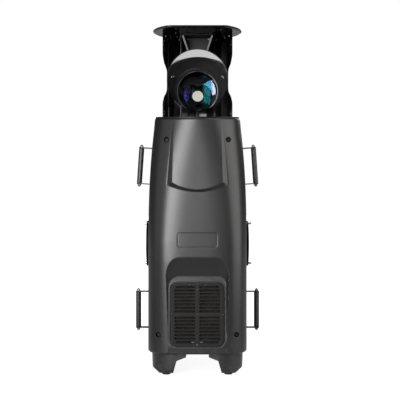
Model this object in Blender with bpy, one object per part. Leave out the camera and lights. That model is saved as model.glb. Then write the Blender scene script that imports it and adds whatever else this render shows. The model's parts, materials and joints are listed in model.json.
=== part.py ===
"""Moving-mirror LED scanner light, standing upright on its four feet.

Metres, +Z up. The intake grille and the open side of the mirror trough face -Y. The origin lies on
the floor under the middle of the body. The lens axis is vertical and lies forward of the middle:
the pieces of the head and the optics are placed from it.
"""

import math

import bmesh
import bpy
from mathutils import Matrix, Vector

# Fits
GAP = 0.0003
RUNNING_CLEARANCE = 0.0005
EDGE_CLEARANCE = 0.001
OVERLAP = 0.001
CUTTER_REACH = 0.3

# Sides of round pieces: the large ones in view, the middling and the small
FINE_SIDES = 28
ROUND_SIDES = 20
SMALL_SIDES = 10

# Body shell
HEIGHT = 1.056
BODY_DEPTH = 0.400
BODY_HALF_WIDTH = 0.1515
COVER_BOTTOM_Z = 0.065
HEAD_RISE = 0.282
TAPER_START_Z = 0.400
TAPER_WIDTH = 0.0195
TAPER_FRONT = 0.0205
TAPER_REAR = 0.080
SIDE_TAPER_POWER = 2.5
FACE_TAPER_START_Z = 0.340
FACE_TAPER_POWER = 1.2
CORNER_POWER_BOTTOM = 5.0
CORNER_POWER_TOP = 2.0
CORNER_DEPTH_BOTTOM = 0.090
CORNER_DEPTH_TOP = 0.105
COVER_WALL = 0.003
BOTTOM_CHAMFER = 0.004
TOP_CHAMFER = 0.0025
TAPER_STEPS = 6
CORNER_STEPS = 7

# Raised panel of the front cover
RAISED_TOP_DROP = 0.009
RAISED_BOTTOM_DROP = 0.215
RAISED_BOTTOM_ARC = 0.022
RAISED_HALF_WIDTH = 0.077
RAISED_DRAW = 0.0045
RAISED_STEP_TOP = 0.003
RAISED_STEP_BOTTOM = 0.0125
RAISED_FOOT = 0.0055
RAISED_FOOT_GROWTH = 0.0075
RAISED_HEIGHT = 0.009
RAISED_COLUMNS = 6
RAISED_ROWS = 4

# Scooped recess of the front cover
RECESS_RUNOUT_Z = 0.078
RECESS_TOP_Z = 0.300
RECESS_DEPTH = 0.020
RECESS_HALF_WIDTH = 0.087
RECESS_CORNER = 0.030
RECESS_SIDE_FLARE = 0.5
RECESS_TOP_FLARE = 2.15
RECESS_REACH = 0.040

# Intake grille
GRILLE_WIDTH = 0.163
GRILLE_HEIGHT = 0.193
GRILLE_CORNER = 0.021
GRILLE_THICKNESS = 0.003
GRILLE_LOW_Z = 0.088
GRILLE_CLEARANCE = 0.0012
GRILLE_LEDGE = 0.007
LEDGE_THICKNESS = 0.0032
SLOT_ROWS = 8
SLOT_HEIGHT = 0.0057
SLOT_PITCH = 0.0104
SLOT_LENGTH = 0.062
SLOT_END_CUT = 0.004
BAR_WIDTH = 0.0125
FILTER_THICKNESS = 0.012
FILTER_OVERLAP = 0.004

# Badge recess and cover screws
BADGE_WIDTH = 0.119
BADGE_HEIGHT = 0.043
BADGE_Z = 0.408
BADGE_CORNER = 0.008
BADGE_DEPTH = 0.0014
SCREW_BORE_RADIUS = 0.008
SCREW_BORE_DEPTH = 0.010
SCREW_BOSS_WALL = 0.0025
SCREW_UPPER_X = 0.0935
SCREW_UPPER_DROP = 0.063
SCREW_LOWER_X = 0.1175
SCREW_LOWER_Z = 0.123

# Rear cover
VENT_ROWS = 6
VENT_PITCH = 0.018
VENT_HEIGHT = 0.008
VENT_LENGTH = 0.078
VENT_BAR = 0.016
VENT_LOW_DROP = 0.296
PANEL_OPENING_SIDE = 0.0665
PANEL_OPENING_HEIGHT = 0.100
PANEL_OPENING_CORNER = 0.008
PANEL_Z = 0.165

# Feet
FOOT_INSET = 0.012
FOOT_TOP_CLEARANCE = 0.0003
FOOT_WING_HEIGHT = 0.022
FOOT_INNER_TOP = 0.0625
FOOT_INNER_BOTTOM = 0.073
FOOT_WING_INNER = 0.035
FOOT_DRAFT = 0.003
FOOT_CHAMFER = 0.0085
FOOT_CHAMFER_RUN = 0.022
FOOT_LEG_DEPTH = 0.070
FOOT_WING_DEPTH = 0.116
PAD_RADIUS = 0.0125
PAD_HEIGHT = 0.010
PAD_X = 0.094
PAD_INSET_Y = 0.0445

# Chassis
BASE_PLATE_THICKNESS = 0.004
BASE_PLATE_LIFT = 0.001
NOSE_PLATE_THICKNESS = 0.0047
NOSE_PLATE_INSET = 0.002
RAIL_DEPTH = 0.060
RAIL_FLANGE = 0.014
RAIL_SHEET = 0.0025
OPTICS_PLATE_DROP = 0.2015
OPTICS_PLATE_THICKNESS = 0.003
OPTICS_PLATE_FRONT = 0.080
OPTICS_PLATE_REAR = 0.112
OPTICS_TAB_HEIGHT = 0.022

# Side handles
HANDLE_LOWER_Z = 0.179
HANDLE_UPPER_DROP = 0.136
HANDLE_REACH = 0.0370
HANDLE_EAR_SPACING = 0.1145
HANDLE_EAR_THICKNESS = 0.0032
HANDLE_EAR_WIDTH = 0.022
HANDLE_EAR_ROUND = 0.008
HANDLE_WEB = 0.003
GRIP_RADIUS = 0.0083
GRIP_ROD_RADIUS = 0.003
NUT_RADIUS = 0.0052
NUT_HEIGHT = 0.008
NUT_DOME = 0.0045

# Yoke discs
YOKE_Z = 0.390
YOKE_RADIUS = 0.072
YOKE_THICKNESS = 0.005
YOKE_STANDOFF = 0.0045
YOKE_BOSS_RADIUS = 0.022
YOKE_HUB_RADIUS = 0.019
YOKE_HUB_HEIGHT = 0.0025
YOKE_BORE_RADIUS = 0.008
YOKE_BORE_DEPTH = 0.022
YOKE_STUD_RADIUS = 0.004
YOKE_STUD_LENGTH = 0.0115
YOKE_STUD_OFFSET = 0.0635

# Head and mirror, from the lens axis
LENS_Y = -0.0655
DISC_RADIUS = 0.1386
DISC_THICKNESS = 0.006
DISC_BEVEL = 0.003
DISC_FLAT = 0.106
TROUGH_RADIUS = 0.108
TROUGH_SHEET = 0.002
TROUGH_ARC_Y = 0.025
TROUGH_FRONT_Y = 0.015
TROUGH_FLANGE = 0.008
TROUGH_FACETS = 12
TROUGH_RIB = 0.0035
TROUGH_RIB_WIDTH = 0.005
SCOOP_LOW_RISE = 0.044
SCOOP_HIGH_RISE = 0.230
SCOOP_RAMP = 0.068
SCOOP_DEPTH = 0.057
SCOOP_STEPS = 6
TILT_RISE = 0.145
MIRROR_STANDOFF = 0.029
MIRROR_HALF_WIDTH = 0.0945
MIRROR_HALF_LENGTH = 0.119
MIRROR_GLASS = 0.004
MIRROR_BEVEL = 0.001
MIRROR_REST = math.radians(45)
MIRROR_SIDES = 32
HOLDER_HALF_WIDTH = 0.070
HOLDER_HALF_LENGTH = 0.094
HOLDER_SHEET = 0.0025
HOLDER_EAR_RADIUS = 0.009
HOLDER_EAR_BASE = 0.022
HOLDER_EAR_CLEARANCE = 0.0015

# Pan drive
HAT_HALF_WIDTH = 0.053
HAT_FRONT = 0.098
HAT_REAR = 0.105
HAT_SHEET = 0.002
HAT_DEPTH = 0.007
HAT_LIP = 0.0135
PAN_PULLEY_RADIUS = 0.030
PAN_SHAFT_RADIUS = 0.012
MOTOR_PULLEY_RADIUS = 0.010
PULLEY_HEIGHT = 0.0055
PAN_MOTOR_Y = 0.072
PAN_MOTOR_RADIUS = 0.020
PAN_MOTOR_LENGTH = 0.036
BELT_THICKNESS = 0.0014
BELT_HEIGHT = 0.0045
MOTOR_SHAFT_RADIUS = 0.0025
MOTOR_PILOT_RADIUS = 0.0075
ARM_TOP_HALF_WIDTH = 0.0475
ARM_LOW_HALF_WIDTH = 0.032
ARM_TAPER_RISE = 0.218
ARM_SHEET = 0.0025
ARM_WEB_Y = 0.022
ARM_TOP_DEPTH = 0.045
ARM_LOW_DEPTH = 0.014
ARM_TIP = 0.014
TILT_MOTOR_RADIUS = 0.019
TILT_SHAFT_RADIUS = 0.003
TILT_SHAFT_REACH = 0.040

# Optics, from the lens axis
LENS_RADIUS = 0.0642
LENS_EDGE_DROP = 0.0077
LENS_EDGE = 0.005
LENS_DOME = 0.009
BEZEL_WALL = 0.0035
BEZEL_FLANGE = 0.009
BEZEL_RISE = 0.0042
BEZEL_DEPTH = 0.031
CARRIAGE_DROP = 0.074
CARRIAGE_THICKNESS = 0.012
CARRIAGE_LENS_RADIUS = 0.043
CARRIAGE_RING = 0.007
CARRIAGE_BAR_END = 0.011
CARRIAGE_BAR_WIDTH = 0.024
GUIDE_RADIUS = 0.004
GUIDE_SIDE = 0.0715
GUIDE_Y = -0.045
WHEEL_OFFSET_X = 0.038
WHEEL_OFFSET_Y = 0.026
WHEEL_RIM = 0.004
WHEEL_HOLE_RADIUS = 0.019
WHEEL_HOLES = 6
WHEEL_THICKNESS = 0.002
WHEEL_HUB_RADIUS = 0.007
WHEEL_HUB_DROP = 0.006
COLOUR_WHEEL_DROP = 0.134
GOBO_WHEEL_DROP = 0.122
WHEEL_MOTOR_RADIUS = 0.014
WHEEL_MOTOR_LENGTH = 0.034
ENGINE_FLANGE_RADIUS = 0.045
ENGINE_FLANGE = 0.012
ENGINE_BARREL_RADIUS = 0.030
ENGINE_FACE_RADIUS = 0.020
ENGINE_TOP_DROP = 0.139
SINK_WIDTH = 0.120
SINK_HEIGHT = 0.120
SINK_CAP = 0.008
SINK_SPINE = 0.010
SINK_FIN = 0.003
SINK_FINS = 9
FAN_WIDTH = 0.120
FAN_DEPTH = 0.025
FAN_BORE_RADIUS = 0.057
FAN_TIP_CLEARANCE = 0.002
FAN_HUB_RADIUS = 0.022
FAN_BLADES = 7
FAN_STRUT = 0.006
FAN_CORNER = 0.004
BLADE_THICKNESS = 0.0012
# Angle to the plane of the fan and length of a blade at its root, its middle and its tip
BLADE_SECTIONS = ((48, 0.020), (38, 0.023), (30, 0.025))

# Power and control; a share is of the width of the panel's opening
SUPPLY_HALF_WIDTH = 0.085
SUPPLY_FRONT_Y = 0.010
SUPPLY_REAR_Y = 0.135
SUPPLY_HEIGHT = 0.240
SUPPLY_CHAMFER = 0.003
SUPPLY_WALL = 0.002
PANEL_MARGIN = 0.009
PANEL_THICKNESS = 0.003
PANEL_SETBACK = 0.0088
INLET_SHARE = -0.3059
INLET_WIDTH = 0.047
INLET_HEIGHT = 0.027
INLET_DEPTH = 0.025
INLET_FLANGE = 0.0025
SOCKET_WIDTH = 0.0235
SOCKET_HEIGHT = 0.0162
SOCKET_DEPTH = 0.0175
SWITCH_SHARE = -0.0471
SWITCH_WIDTH = 0.018
SWITCH_HEIGHT = 0.023
SWITCH_REST = math.radians(8)
SWITCH_CLEARANCE = 0.0012
SWITCH_HOLLOW = 0.0018
DATA_IN_SHARE = 0.1647
DATA_OUT_SHARE = 0.3647
DATA_RADIUS = 0.0105
DATA_BORE_RADIUS = 0.0085
DATA_FLANGE = 0.0135
DATA_DEPTH = 0.020
CONNECTOR_Z = -0.023
BUTTONS = 4
BUTTON_Z = 0.024
BUTTON_FIRST_SHARE = 0.0706
BUTTON_PITCH_SHARE = 0.1059
BUTTON_WIDTH = 0.010
BUTTON_HEIGHT = 0.009
BUTTON_RISE = 0.0028
BUTTON_FLANGE = 0.001
DISPLAY_SHARE = -0.2235
DISPLAY_WIDTH_SHARE = 0.4118
DISPLAY_HEIGHT = 0.024
DISPLAY_DEPTH = 0.0012
WINDOW_CORNER = 0.0012

FINISHES = {
    "charcoal_cover": ((0.060, 0.060, 0.062), 0.42, 0.0),
    "black_paint": ((0.012, 0.012, 0.013), 0.30, 0.0),
    "dark_bracket": ((0.045, 0.046, 0.048), 0.45, 0.3),
    "galvanised": ((0.55, 0.56, 0.57), 0.40, 1.0),
    "aluminium": ((0.70, 0.71, 0.72), 0.35, 1.0),
    "black_grip": ((0.020, 0.020, 0.020), 0.50, 0.0),
    "rubber": ((0.015, 0.015, 0.015), 0.90, 0.0),
    "mirror_glass": ((0.90, 0.91, 0.92), 0.03, 1.0),
    "lens_glass": ((0.30, 0.45, 0.60), 0.05, 0.0),
    "filter_foam": ((0.060, 0.048, 0.034), 0.95, 0.0),
    "motor_steel": ((0.22, 0.22, 0.23), 0.35, 1.0),
    "led_cream": ((0.90, 0.86, 0.70), 0.50, 0.0),
    "black_plastic": ((0.025, 0.025, 0.027), 0.45, 0.0),
    "belt_rubber": ((0.02, 0.02, 0.02), 0.80, 0.0),
    "button_grey": ((0.32, 0.33, 0.34), 0.55, 0.0),
}

COVER_TOP_Z = HEIGHT - HEAD_RISE
RAISED_TOP_Z = COVER_TOP_Z - RAISED_TOP_DROP
RAISED_BOTTOM_Z = COVER_TOP_Z - RAISED_BOTTOM_DROP
VENT_LOW_Z = COVER_TOP_Z - VENT_LOW_DROP
HANDLE_UPPER_Z = COVER_TOP_Z - HANDLE_UPPER_DROP
SCOOP_LOW_Z = COVER_TOP_Z + SCOOP_LOW_RISE
SCOOP_HIGH_Z = COVER_TOP_Z + SCOOP_HIGH_RISE
TILT_Z = COVER_TOP_Z + TILT_RISE
ARM_TAPER_Z = COVER_TOP_Z + ARM_TAPER_RISE
LENS_EDGE_Z = COVER_TOP_Z - LENS_EDGE_DROP
CARRIAGE_Z = COVER_TOP_Z - CARRIAGE_DROP
GOBO_WHEEL_Z = COVER_TOP_Z - GOBO_WHEEL_DROP
COLOUR_WHEEL_Z = COVER_TOP_Z - COLOUR_WHEEL_DROP
ENGINE_TOP_Z = COVER_TOP_Z - ENGINE_TOP_DROP
OPTICS_PLATE_Z = COVER_TOP_Z - OPTICS_PLATE_DROP
GUIDE_X = BODY_HALF_WIDTH - GUIDE_SIDE
PANEL_OPENING_WIDTH = 2 * (BODY_HALF_WIDTH - PANEL_OPENING_SIDE)
INLET_X = INLET_SHARE * PANEL_OPENING_WIDTH
SWITCH_X = SWITCH_SHARE * PANEL_OPENING_WIDTH
DATA_IN_X = DATA_IN_SHARE * PANEL_OPENING_WIDTH
DATA_OUT_X = DATA_OUT_SHARE * PANEL_OPENING_WIDTH
BUTTON_FIRST_X = BUTTON_FIRST_SHARE * PANEL_OPENING_WIDTH
BUTTON_PITCH = BUTTON_PITCH_SHARE * PANEL_OPENING_WIDTH
DISPLAY_X = DISPLAY_SHARE * PANEL_OPENING_WIDTH
DISPLAY_WIDTH = DISPLAY_WIDTH_SHARE * PANEL_OPENING_WIDTH
HEAD_UNDERSIDE_Z = HEIGHT - DISC_THICKNESS
NOSE_LOW_Z = COVER_TOP_Z + GAP
NOSE_TOP_Z = NOSE_LOW_Z + NOSE_PLATE_THICKNESS
BASE_LOW_Z = COVER_BOTTOM_Z + BASE_PLATE_LIFT
BASE_TOP_Z = BASE_LOW_Z + BASE_PLATE_THICKNESS
HAT_TOP_Z = HEAD_UNDERSIDE_Z - GAP
HAT_PLATE_TOP_Z = HAT_TOP_Z - HAT_DEPTH
HAT_PLATE_LOW_Z = HAT_PLATE_TOP_Z - HAT_SHEET
ARM_TOP_Z = HAT_PLATE_LOW_Z - EDGE_CLEARANCE
PULLEY_LOW_Z = HAT_PLATE_TOP_Z + RUNNING_CLEARANCE
FACE_SLOPE = math.atan2(RECESS_DEPTH, RECESS_TOP_Z - RECESS_RUNOUT_Z)
YOKE_FACE_X = BODY_HALF_WIDTH + YOKE_STANDOFF + YOKE_THICKNESS
PANEL_FACE_Y = BODY_DEPTH / 2 - PANEL_SETBACK
FLOOR_BACK = GRILLE_THICKNESS + GAP + LEDGE_THICKNESS
WHEEL_ORBIT = math.hypot(WHEEL_OFFSET_X, WHEEL_OFFSET_Y)
OPTICS_TOP_Z = OPTICS_PLATE_Z + OPTICS_PLATE_THICKNESS


def clear_scene():
    for old in list(bpy.data.objects):
        bpy.data.objects.remove(old, do_unlink=True)


def finish(name):
    """The Principled material called name, made on first use."""
    known = bpy.data.materials.get(name)
    if known:
        return known
    colour, roughness, metallic = FINISHES[name]
    made = bpy.data.materials.new(name)
    made.use_nodes = True
    shader = made.node_tree.nodes["Principled BSDF"]
    shader.inputs["Base Color"].default_value = (*colour, 1.0)
    shader.inputs["Roughness"].default_value = roughness
    shader.inputs["Metallic"].default_value = metallic
    return made


def empty(name, location, parent=None):
    frame = bpy.data.objects.new(name, None)
    frame.location = location
    frame.parent = parent
    bpy.context.scene.collection.objects.link(frame)
    return frame


def add_object(name, shape, material, location=(0, 0, 0), rotation=(0, 0, 0), parent=None):
    """Turns a bmesh into an object of the scene, shaded smooth between faces that meet gently."""
    bmesh.ops.recalc_face_normals(shape, faces=shape.faces)
    mesh = bpy.data.meshes.new(name)
    shape.to_mesh(mesh)
    shape.free()
    mesh.shade_smooth()
    mesh.set_sharp_from_angle(angle=math.radians(32))
    mesh.materials.append(finish(material))
    made = bpy.data.objects.new(name, mesh)
    made.location = location
    made.rotation_euler = rotation
    made.parent = parent
    bpy.context.scene.collection.objects.link(made)
    return made


def helper(name, shape, location=(0, 0, 0), rotation=(0, 0, 0), parent=None):
    """A cutter or a joined shape, which is drawn as wire and isn't a piece of the light."""
    made = add_object(name, shape, "dark_bracket", location, rotation, parent)
    made.hide_render = True
    made.display_type = "WIRE"
    return made


def combine(target, operation, others):
    for other in others:
        modifier = target.modifiers.new(other.name, "BOOLEAN")
        modifier.operation = operation
        modifier.solver = "EXACT"
        modifier.object = other


def cut(target, *others):
    combine(target, "DIFFERENCE", others)


def join(target, *others):
    combine(target, "UNION", others)


def keep_common(target, *others):
    combine(target, "INTERSECT", others)


def loft(rings):
    """A closed solid through rings of equally many points, its two end rings filled."""
    shape = bmesh.new()
    rows = [[shape.verts.new(point) for point in ring] for ring in rings]
    for low, high in zip(rows, rows[1:]):
        for here in range(len(low)):
            after = (here + 1) % len(low)
            shape.faces.new((low[here], low[after], high[after], high[here]))
    shape.faces.new(rows[0])
    shape.faces.new(rows[-1])
    return shape


def prism(outline, start, end, axis="Z"):
    """A flat outline, pushed from start to end along an axis."""
    place = {
        "X": lambda a, b, c: (c, a, b),
        "Y": lambda a, b, c: (a, c, b),
        "Z": lambda a, b, c: (a, b, c),
    }[axis]
    return loft([[place(a, b, level) for a, b in outline] for level in (start, end)])


def box(low, high):
    outline = [(low[0], low[1]), (high[0], low[1]), (high[0], high[1]), (low[0], high[1])]
    return prism(outline, low[2], high[2])


def circle(radius, sides, centre=(0.0, 0.0), radius_b=None):
    radius_b = radius if radius_b is None else radius_b
    turns = [2 * math.pi * step / sides for step in range(sides)]
    return [
        (centre[0] + radius * math.cos(turn), centre[1] + radius_b * math.sin(turn))
        for turn in turns
    ]


def cylinder(radius, start, end, sides=ROUND_SIDES, axis="Z", centre=(0.0, 0.0)):
    return prism(circle(radius, sides, centre), start, end, axis)


def rounded_rectangle(width, height, corner, steps=4, centre=(0.0, 0.0)):
    outline = []
    for quarter, (side_x, side_y) in enumerate(((1, 1), (-1, 1), (-1, -1), (1, -1))):
        middle_x = centre[0] + side_x * (width / 2 - corner)
        middle_y = centre[1] + side_y * (height / 2 - corner)
        for step in range(steps + 1):
            turn = math.pi / 2 * (quarter + step / steps)
            outline.append((middle_x + corner * math.cos(turn), middle_y + corner * math.sin(turn)))
    return outline


def turned(profile, sides=ROUND_SIDES):
    """A solid of revolution about Z from the (radius, height) points of its half section."""
    shape = bmesh.new()
    points = [shape.verts.new((radius, 0.0, height)) for radius, height in profile]
    edges = []
    for here, after in zip(points, points[1:] + points[:1]):
        if here.co.x > 0 or after.co.x > 0:
            edges.append(shape.edges.new((here, after)))
    bmesh.ops.spin(
        shape,
        geom=points + edges,
        cent=(0, 0, 0),
        axis=(0, 0, 1),
        angle=2 * math.pi,
        steps=sides,
        use_merge=True,
    )
    bmesh.ops.remove_doubles(shape, verts=shape.verts, dist=1e-6)
    return shape


def spherical_cap(radius, dome, height, steps=3):
    """Half section of a spherical cap, from its rim to its crown."""
    sphere = (radius**2 + dome**2) / (2 * dome)
    points = []
    for step in range(steps + 1):
        out = radius * (1 - step / steps)
        points.append((out, height + math.sqrt(sphere**2 - out**2) - (sphere - dome)))
    return points


def merged(*shapes):
    """Shapes that stay clear of each other, in one bmesh: the solids of one cutter."""
    whole = bmesh.new()
    for shape in shapes:
        mesh = bpy.data.meshes.new("part_of_cutter")
        shape.to_mesh(mesh)
        shape.free()
        whole.from_mesh(mesh)
        bpy.data.meshes.remove(mesh)
    return whole


def moved(shape, matrix):
    bmesh.ops.transform(shape, matrix=matrix, verts=shape.verts)
    return shape


def taper(z, start=TAPER_START_Z):
    """0 on the straight lower body, 1 at its top."""
    return max(0.0, (z - start) / (COVER_TOP_Z - start))


def half_width(z):
    return BODY_HALF_WIDTH - TAPER_WIDTH * taper(z) ** SIDE_TAPER_POWER


def side_slope(z):
    """How far the side leans in at this height, as an angle."""
    step = 0.001
    return math.atan2(half_width(z - step) - half_width(z + step), 2 * step)


def face_y(side, z):
    """The outermost y of the front (side -1) or the rear (side +1) of the body."""
    drawn_in = TAPER_FRONT if side < 0 else TAPER_REAR
    return side * (BODY_DEPTH / 2 - drawn_in * taper(z, FACE_TAPER_START_Z) ** FACE_TAPER_POWER)


def corner_power(z):
    blend = min(1.0, taper(z))
    return CORNER_POWER_BOTTOM + (CORNER_POWER_TOP - CORNER_POWER_BOTTOM) * blend


def corner_depth(side, z):
    blend = min(1.0, taper(z))
    depth = CORNER_DEPTH_BOTTOM + (CORNER_DEPTH_TOP - CORNER_DEPTH_BOTTOM) * blend
    return min(depth, abs(face_y(side, z)) - COVER_WALL)


def surface_y(side, x, z):
    """The body's face at x: a superellipse in plan, boxy at the bottom and round at the top."""
    depth = corner_depth(side, z)
    middle = face_y(side, z) - side * depth
    share = min(1.0, abs(x) / half_width(z)) ** corner_power(z)
    return middle + side * depth * math.sqrt(1.0 - share)


def face_curve(side, z, inset):
    """Plan points of one cover from its left edge round its face to its right edge."""
    width = half_width(z) - inset
    depth = corner_depth(side, z) - inset
    middle = face_y(side, z) - side * corner_depth(side, z)
    power = corner_power(z)
    points = []
    for step in range(2 * CORNER_STEPS + 1):
        turn = math.pi * step / (2 * CORNER_STEPS)
        across = abs(math.cos(turn)) ** (2 / power) * width
        if step == CORNER_STEPS:
            across = 0.0
        elif step < CORNER_STEPS:
            across = -across
        points.append((across, middle + side * depth * math.sin(turn)))
    return points


def rail_x():
    """Outer face of the chassis rails, where they just clear the rounded top of the rear cover."""
    inset = TOP_CHAMFER + COVER_WALL
    depth = corner_depth(1, COVER_TOP_Z)
    past_straight = max(0.0, RAIL_DEPTH / 2 - face_y(1, COVER_TOP_Z) + depth)
    share = 1.0 - (past_straight / (depth - inset)) ** 2
    width = half_width(COVER_TOP_Z) - inset
    return width * share ** (1 / corner_power(COVER_TOP_Z)) - EDGE_CLEARANCE


def plan_outline(z, inset):
    """The whole body in plan, front and rear."""
    return face_curve(-1, z, inset) + face_curve(1, z, inset)[::-1]


def cover_levels():
    """(height, inset) of each ring of a cover, with a chamfer at both ends."""
    levels = [
        (COVER_BOTTOM_Z, BOTTOM_CHAMFER),
        (COVER_BOTTOM_Z + BOTTOM_CHAMFER, 0.0),
        (FACE_TAPER_START_Z, 0.0),
    ]
    last = COVER_TOP_Z - TOP_CHAMFER
    for step in range(1, TAPER_STEPS + 1):
        levels.append((FACE_TAPER_START_Z + (last - FACE_TAPER_START_Z) * step / TAPER_STEPS, 0.0))
    return levels + [(COVER_TOP_Z, TOP_CHAMFER)]


def cover_ring(side, z, inset, edge_y, at_z=None):
    curve = face_curve(side, z, inset)
    curve = [(curve[0][0], edge_y)] + curve + [(curve[-1][0], edge_y)]
    return [(x, y, z if at_z is None else at_z) for x, y in curve]


def cover_blank(side):
    return loft([cover_ring(side, z, inset, side * GAP / 2) for z, inset in cover_levels()])


def cover_core(side):
    """What a cover is hollow of: its own shape, one wall in, open at the top, the bottom and behind."""
    levels = cover_levels()
    levels = levels[:3] + levels[4:-2:2] + levels[-2:]
    rings = [cover_ring(side, z, inset + COVER_WALL, -side * OVERLAP) for z, inset in levels]
    first_z, first_inset = levels[0]
    last_z, last_inset = levels[-1]
    below = cover_ring(
        side, first_z, first_inset + COVER_WALL, -side * OVERLAP, first_z - CUTTER_REACH / 10
    )
    above = cover_ring(
        side, last_z, last_inset + COVER_WALL, -side * OVERLAP, last_z + CUTTER_REACH / 10
    )
    return loft([below] + rings + [above])


def raised_panel(embed):
    """The proud panel of the front cover: flush at the top, a full step over an arc at the bottom."""
    columns = [-1.0 + 2.0 * step / RAISED_COLUMNS for step in range(RAISED_COLUMNS + 1)]
    front, back = [], []
    for row in range(-1, RAISED_ROWS + 1):
        share = max(0.0, row / RAISED_ROWS)
        front_row, back_row = [], []
        for place in [-2.0] + columns + [2.0]:
            across = max(-1.0, min(1.0, place))
            inner = (RAISED_HALF_WIDTH - RAISED_DRAW * share) * across
            step_width = RAISED_STEP_BOTTOM + (RAISED_STEP_TOP - RAISED_STEP_BOTTOM) * share
            x = inner + (math.copysign(step_width, place) if abs(place) > 1 else 0.0)
            foot = RAISED_FOOT + RAISED_FOOT_GROWTH * across**2 if row < 0 else 0.0
            low = RAISED_BOTTOM_Z + RAISED_BOTTOM_ARC * across**2 - foot
            z = low + (RAISED_TOP_Z - low) * share
            edge = abs(place) > 1 or row < 0 or row == RAISED_ROWS
            proud = -embed / 2 if edge else RAISED_HEIGHT * (1.0 - share)
            face = surface_y(-1, x, z)
            front_row.append((x, face - proud, z))
            back_row.append((x, face + embed, z))
        front.append(front_row)
        back.append(back_row)
    shape = bmesh.new()
    grids = [[[shape.verts.new(point) for point in row] for row in grid] for grid in (front, back)]
    last_row, last_column = len(front) - 1, len(front[0]) - 1
    for row in range(last_row):
        for column in range(last_column):
            for grid in grids:
                shape.faces.new(
                    (
                        grid[row][column],
                        grid[row][column + 1],
                        grid[row + 1][column + 1],
                        grid[row + 1][column],
                    )
                )
    rim = [(0, column) for column in range(last_column)]
    rim += [(row, last_column) for row in range(last_row)]
    rim += [(last_row, column) for column in range(last_column, 0, -1)]
    rim += [(row, 0) for row in range(last_row, 0, -1)]
    for (row, column), (next_row, next_column) in zip(rim, rim[1:] + rim[:1]):
        shape.faces.new(
            (
                grids[0][row][column],
                grids[0][next_row][next_column],
                grids[1][next_row][next_column],
                grids[1][row][column],
            )
        )
    return shape


def grille_frame():
    """The frame of the recess floor, with its origin in the grille's middle and -Y out of the floor."""
    z = GRILLE_LOW_Z + GRILLE_HEIGHT / 2 * math.cos(FACE_SLOPE)
    y = -BODY_DEPTH / 2 + (z - RECESS_RUNOUT_Z) * math.tan(FACE_SLOPE)
    return Matrix.Translation((0.0, y, z)) @ Matrix.Rotation(-FACE_SLOPE, 4, "X")


def recess_shape(depth, grow):
    """The flared scoop over the recess floor, its floor at this depth behind the real one."""
    along = 1 / math.cos(FACE_SLOPE)
    middle = GRILLE_LOW_Z + GRILLE_HEIGHT / 2 * math.cos(FACE_SLOPE)
    top = (RECESS_TOP_Z - middle) * along + grow
    bottom = (COVER_BOTTOM_Z - middle) * along - RECESS_REACH
    rings = []
    for level in (depth, -RECESS_REACH):
        out = -level if level < 0 else 0.0
        reach_up = top + RECESS_TOP_FLARE * out
        reach_side = RECESS_HALF_WIDTH + grow + RECESS_SIDE_FLARE * out
        corner = RECESS_CORNER + RECESS_SIDE_FLARE * out
        outline = rounded_rectangle(
            2 * reach_side, reach_up - bottom, corner, 5, (0.0, (reach_up + bottom) / 2)
        )
        rings.append([(x, level, z) for x, z in outline])
    if depth > 0:
        rings.insert(1, [(x, 0.0, z) for x, _, z in rings[0]])
    return loft(rings)


def badge_frame():
    """The frame of the badge recess: on the leaning face, with -Y out of it."""
    step = BADGE_HEIGHT / 4
    rise = face_y(-1, BADGE_Z + step) - face_y(-1, BADGE_Z - step)
    lean = math.atan2(rise, 2 * step)
    place = Matrix.Translation((0.0, face_y(-1, BADGE_Z), BADGE_Z))
    return place @ Matrix.Rotation(-lean, 4, "X")


def handle_outline(side, z, grow=0.0):
    """The bracket of one handle, seen along Y: an upright web and two ears square to the grip."""
    lean = side_slope(z)
    middle = Vector((half_width(z) + HANDLE_REACH, z))
    up = Vector((-math.sin(lean), math.cos(lean)))
    out = Vector((math.cos(lean), math.sin(lean)))
    tip = GRIP_RADIUS + grow
    upper = HANDLE_EAR_SPACING / 2 + HANDLE_EAR_THICKNESS / 2 + grow
    lower = HANDLE_EAR_SPACING / 2 - HANDLE_EAR_THICKNESS / 2 - grow

    def at_x(along, x):
        start = middle + along * up
        return start + (x - start.x) / out.x * out

    inner_x = rail_x() + GAP - grow
    web_x = rail_x() + GAP + HANDLE_WEB + grow
    points = [
        at_x(upper, inner_x),
        middle + upper * up + tip * out,
        middle + lower * up + tip * out,
        at_x(lower, web_x),
        at_x(-lower, web_x),
        middle - lower * up + tip * out,
        middle - upper * up + tip * out,
        at_x(-upper, inner_x),
    ]
    return [(side * point.x, point.y) for point in points]


def handle_cutters(side, z):
    grow = EDGE_CLEARANCE
    reach = HANDLE_EAR_WIDTH / 2 + grow
    return prism(handle_outline(side, z, grow), -reach, reach, "Y")


def side_cutters(name):
    """The slots for the handle ears and the holes for the yoke bosses, along the parting line."""
    cutters = [
        handle_cutters(side, z) for side in (-1, 1) for z in (HANDLE_LOWER_Z, HANDLE_UPPER_Z)
    ]
    for side in (-1, 1):
        near, far = sorted((side * rail_x(), side * (BODY_HALF_WIDTH + CUTTER_REACH)))
        cutters.append(
            cylinder(YOKE_BOSS_RADIUS + EDGE_CLEARANCE, near, far, ROUND_SIDES, "X", (0.0, YOKE_Z))
        )
    return helper(name, merged(*cutters))


def screw_places():
    upper = (SCREW_UPPER_X, COVER_TOP_Z - SCREW_UPPER_DROP)
    lower = (SCREW_LOWER_X, SCREW_LOWER_Z)
    return [(side * x, z) for side in (-1, 1) for x, z in (upper, lower)]


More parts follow.
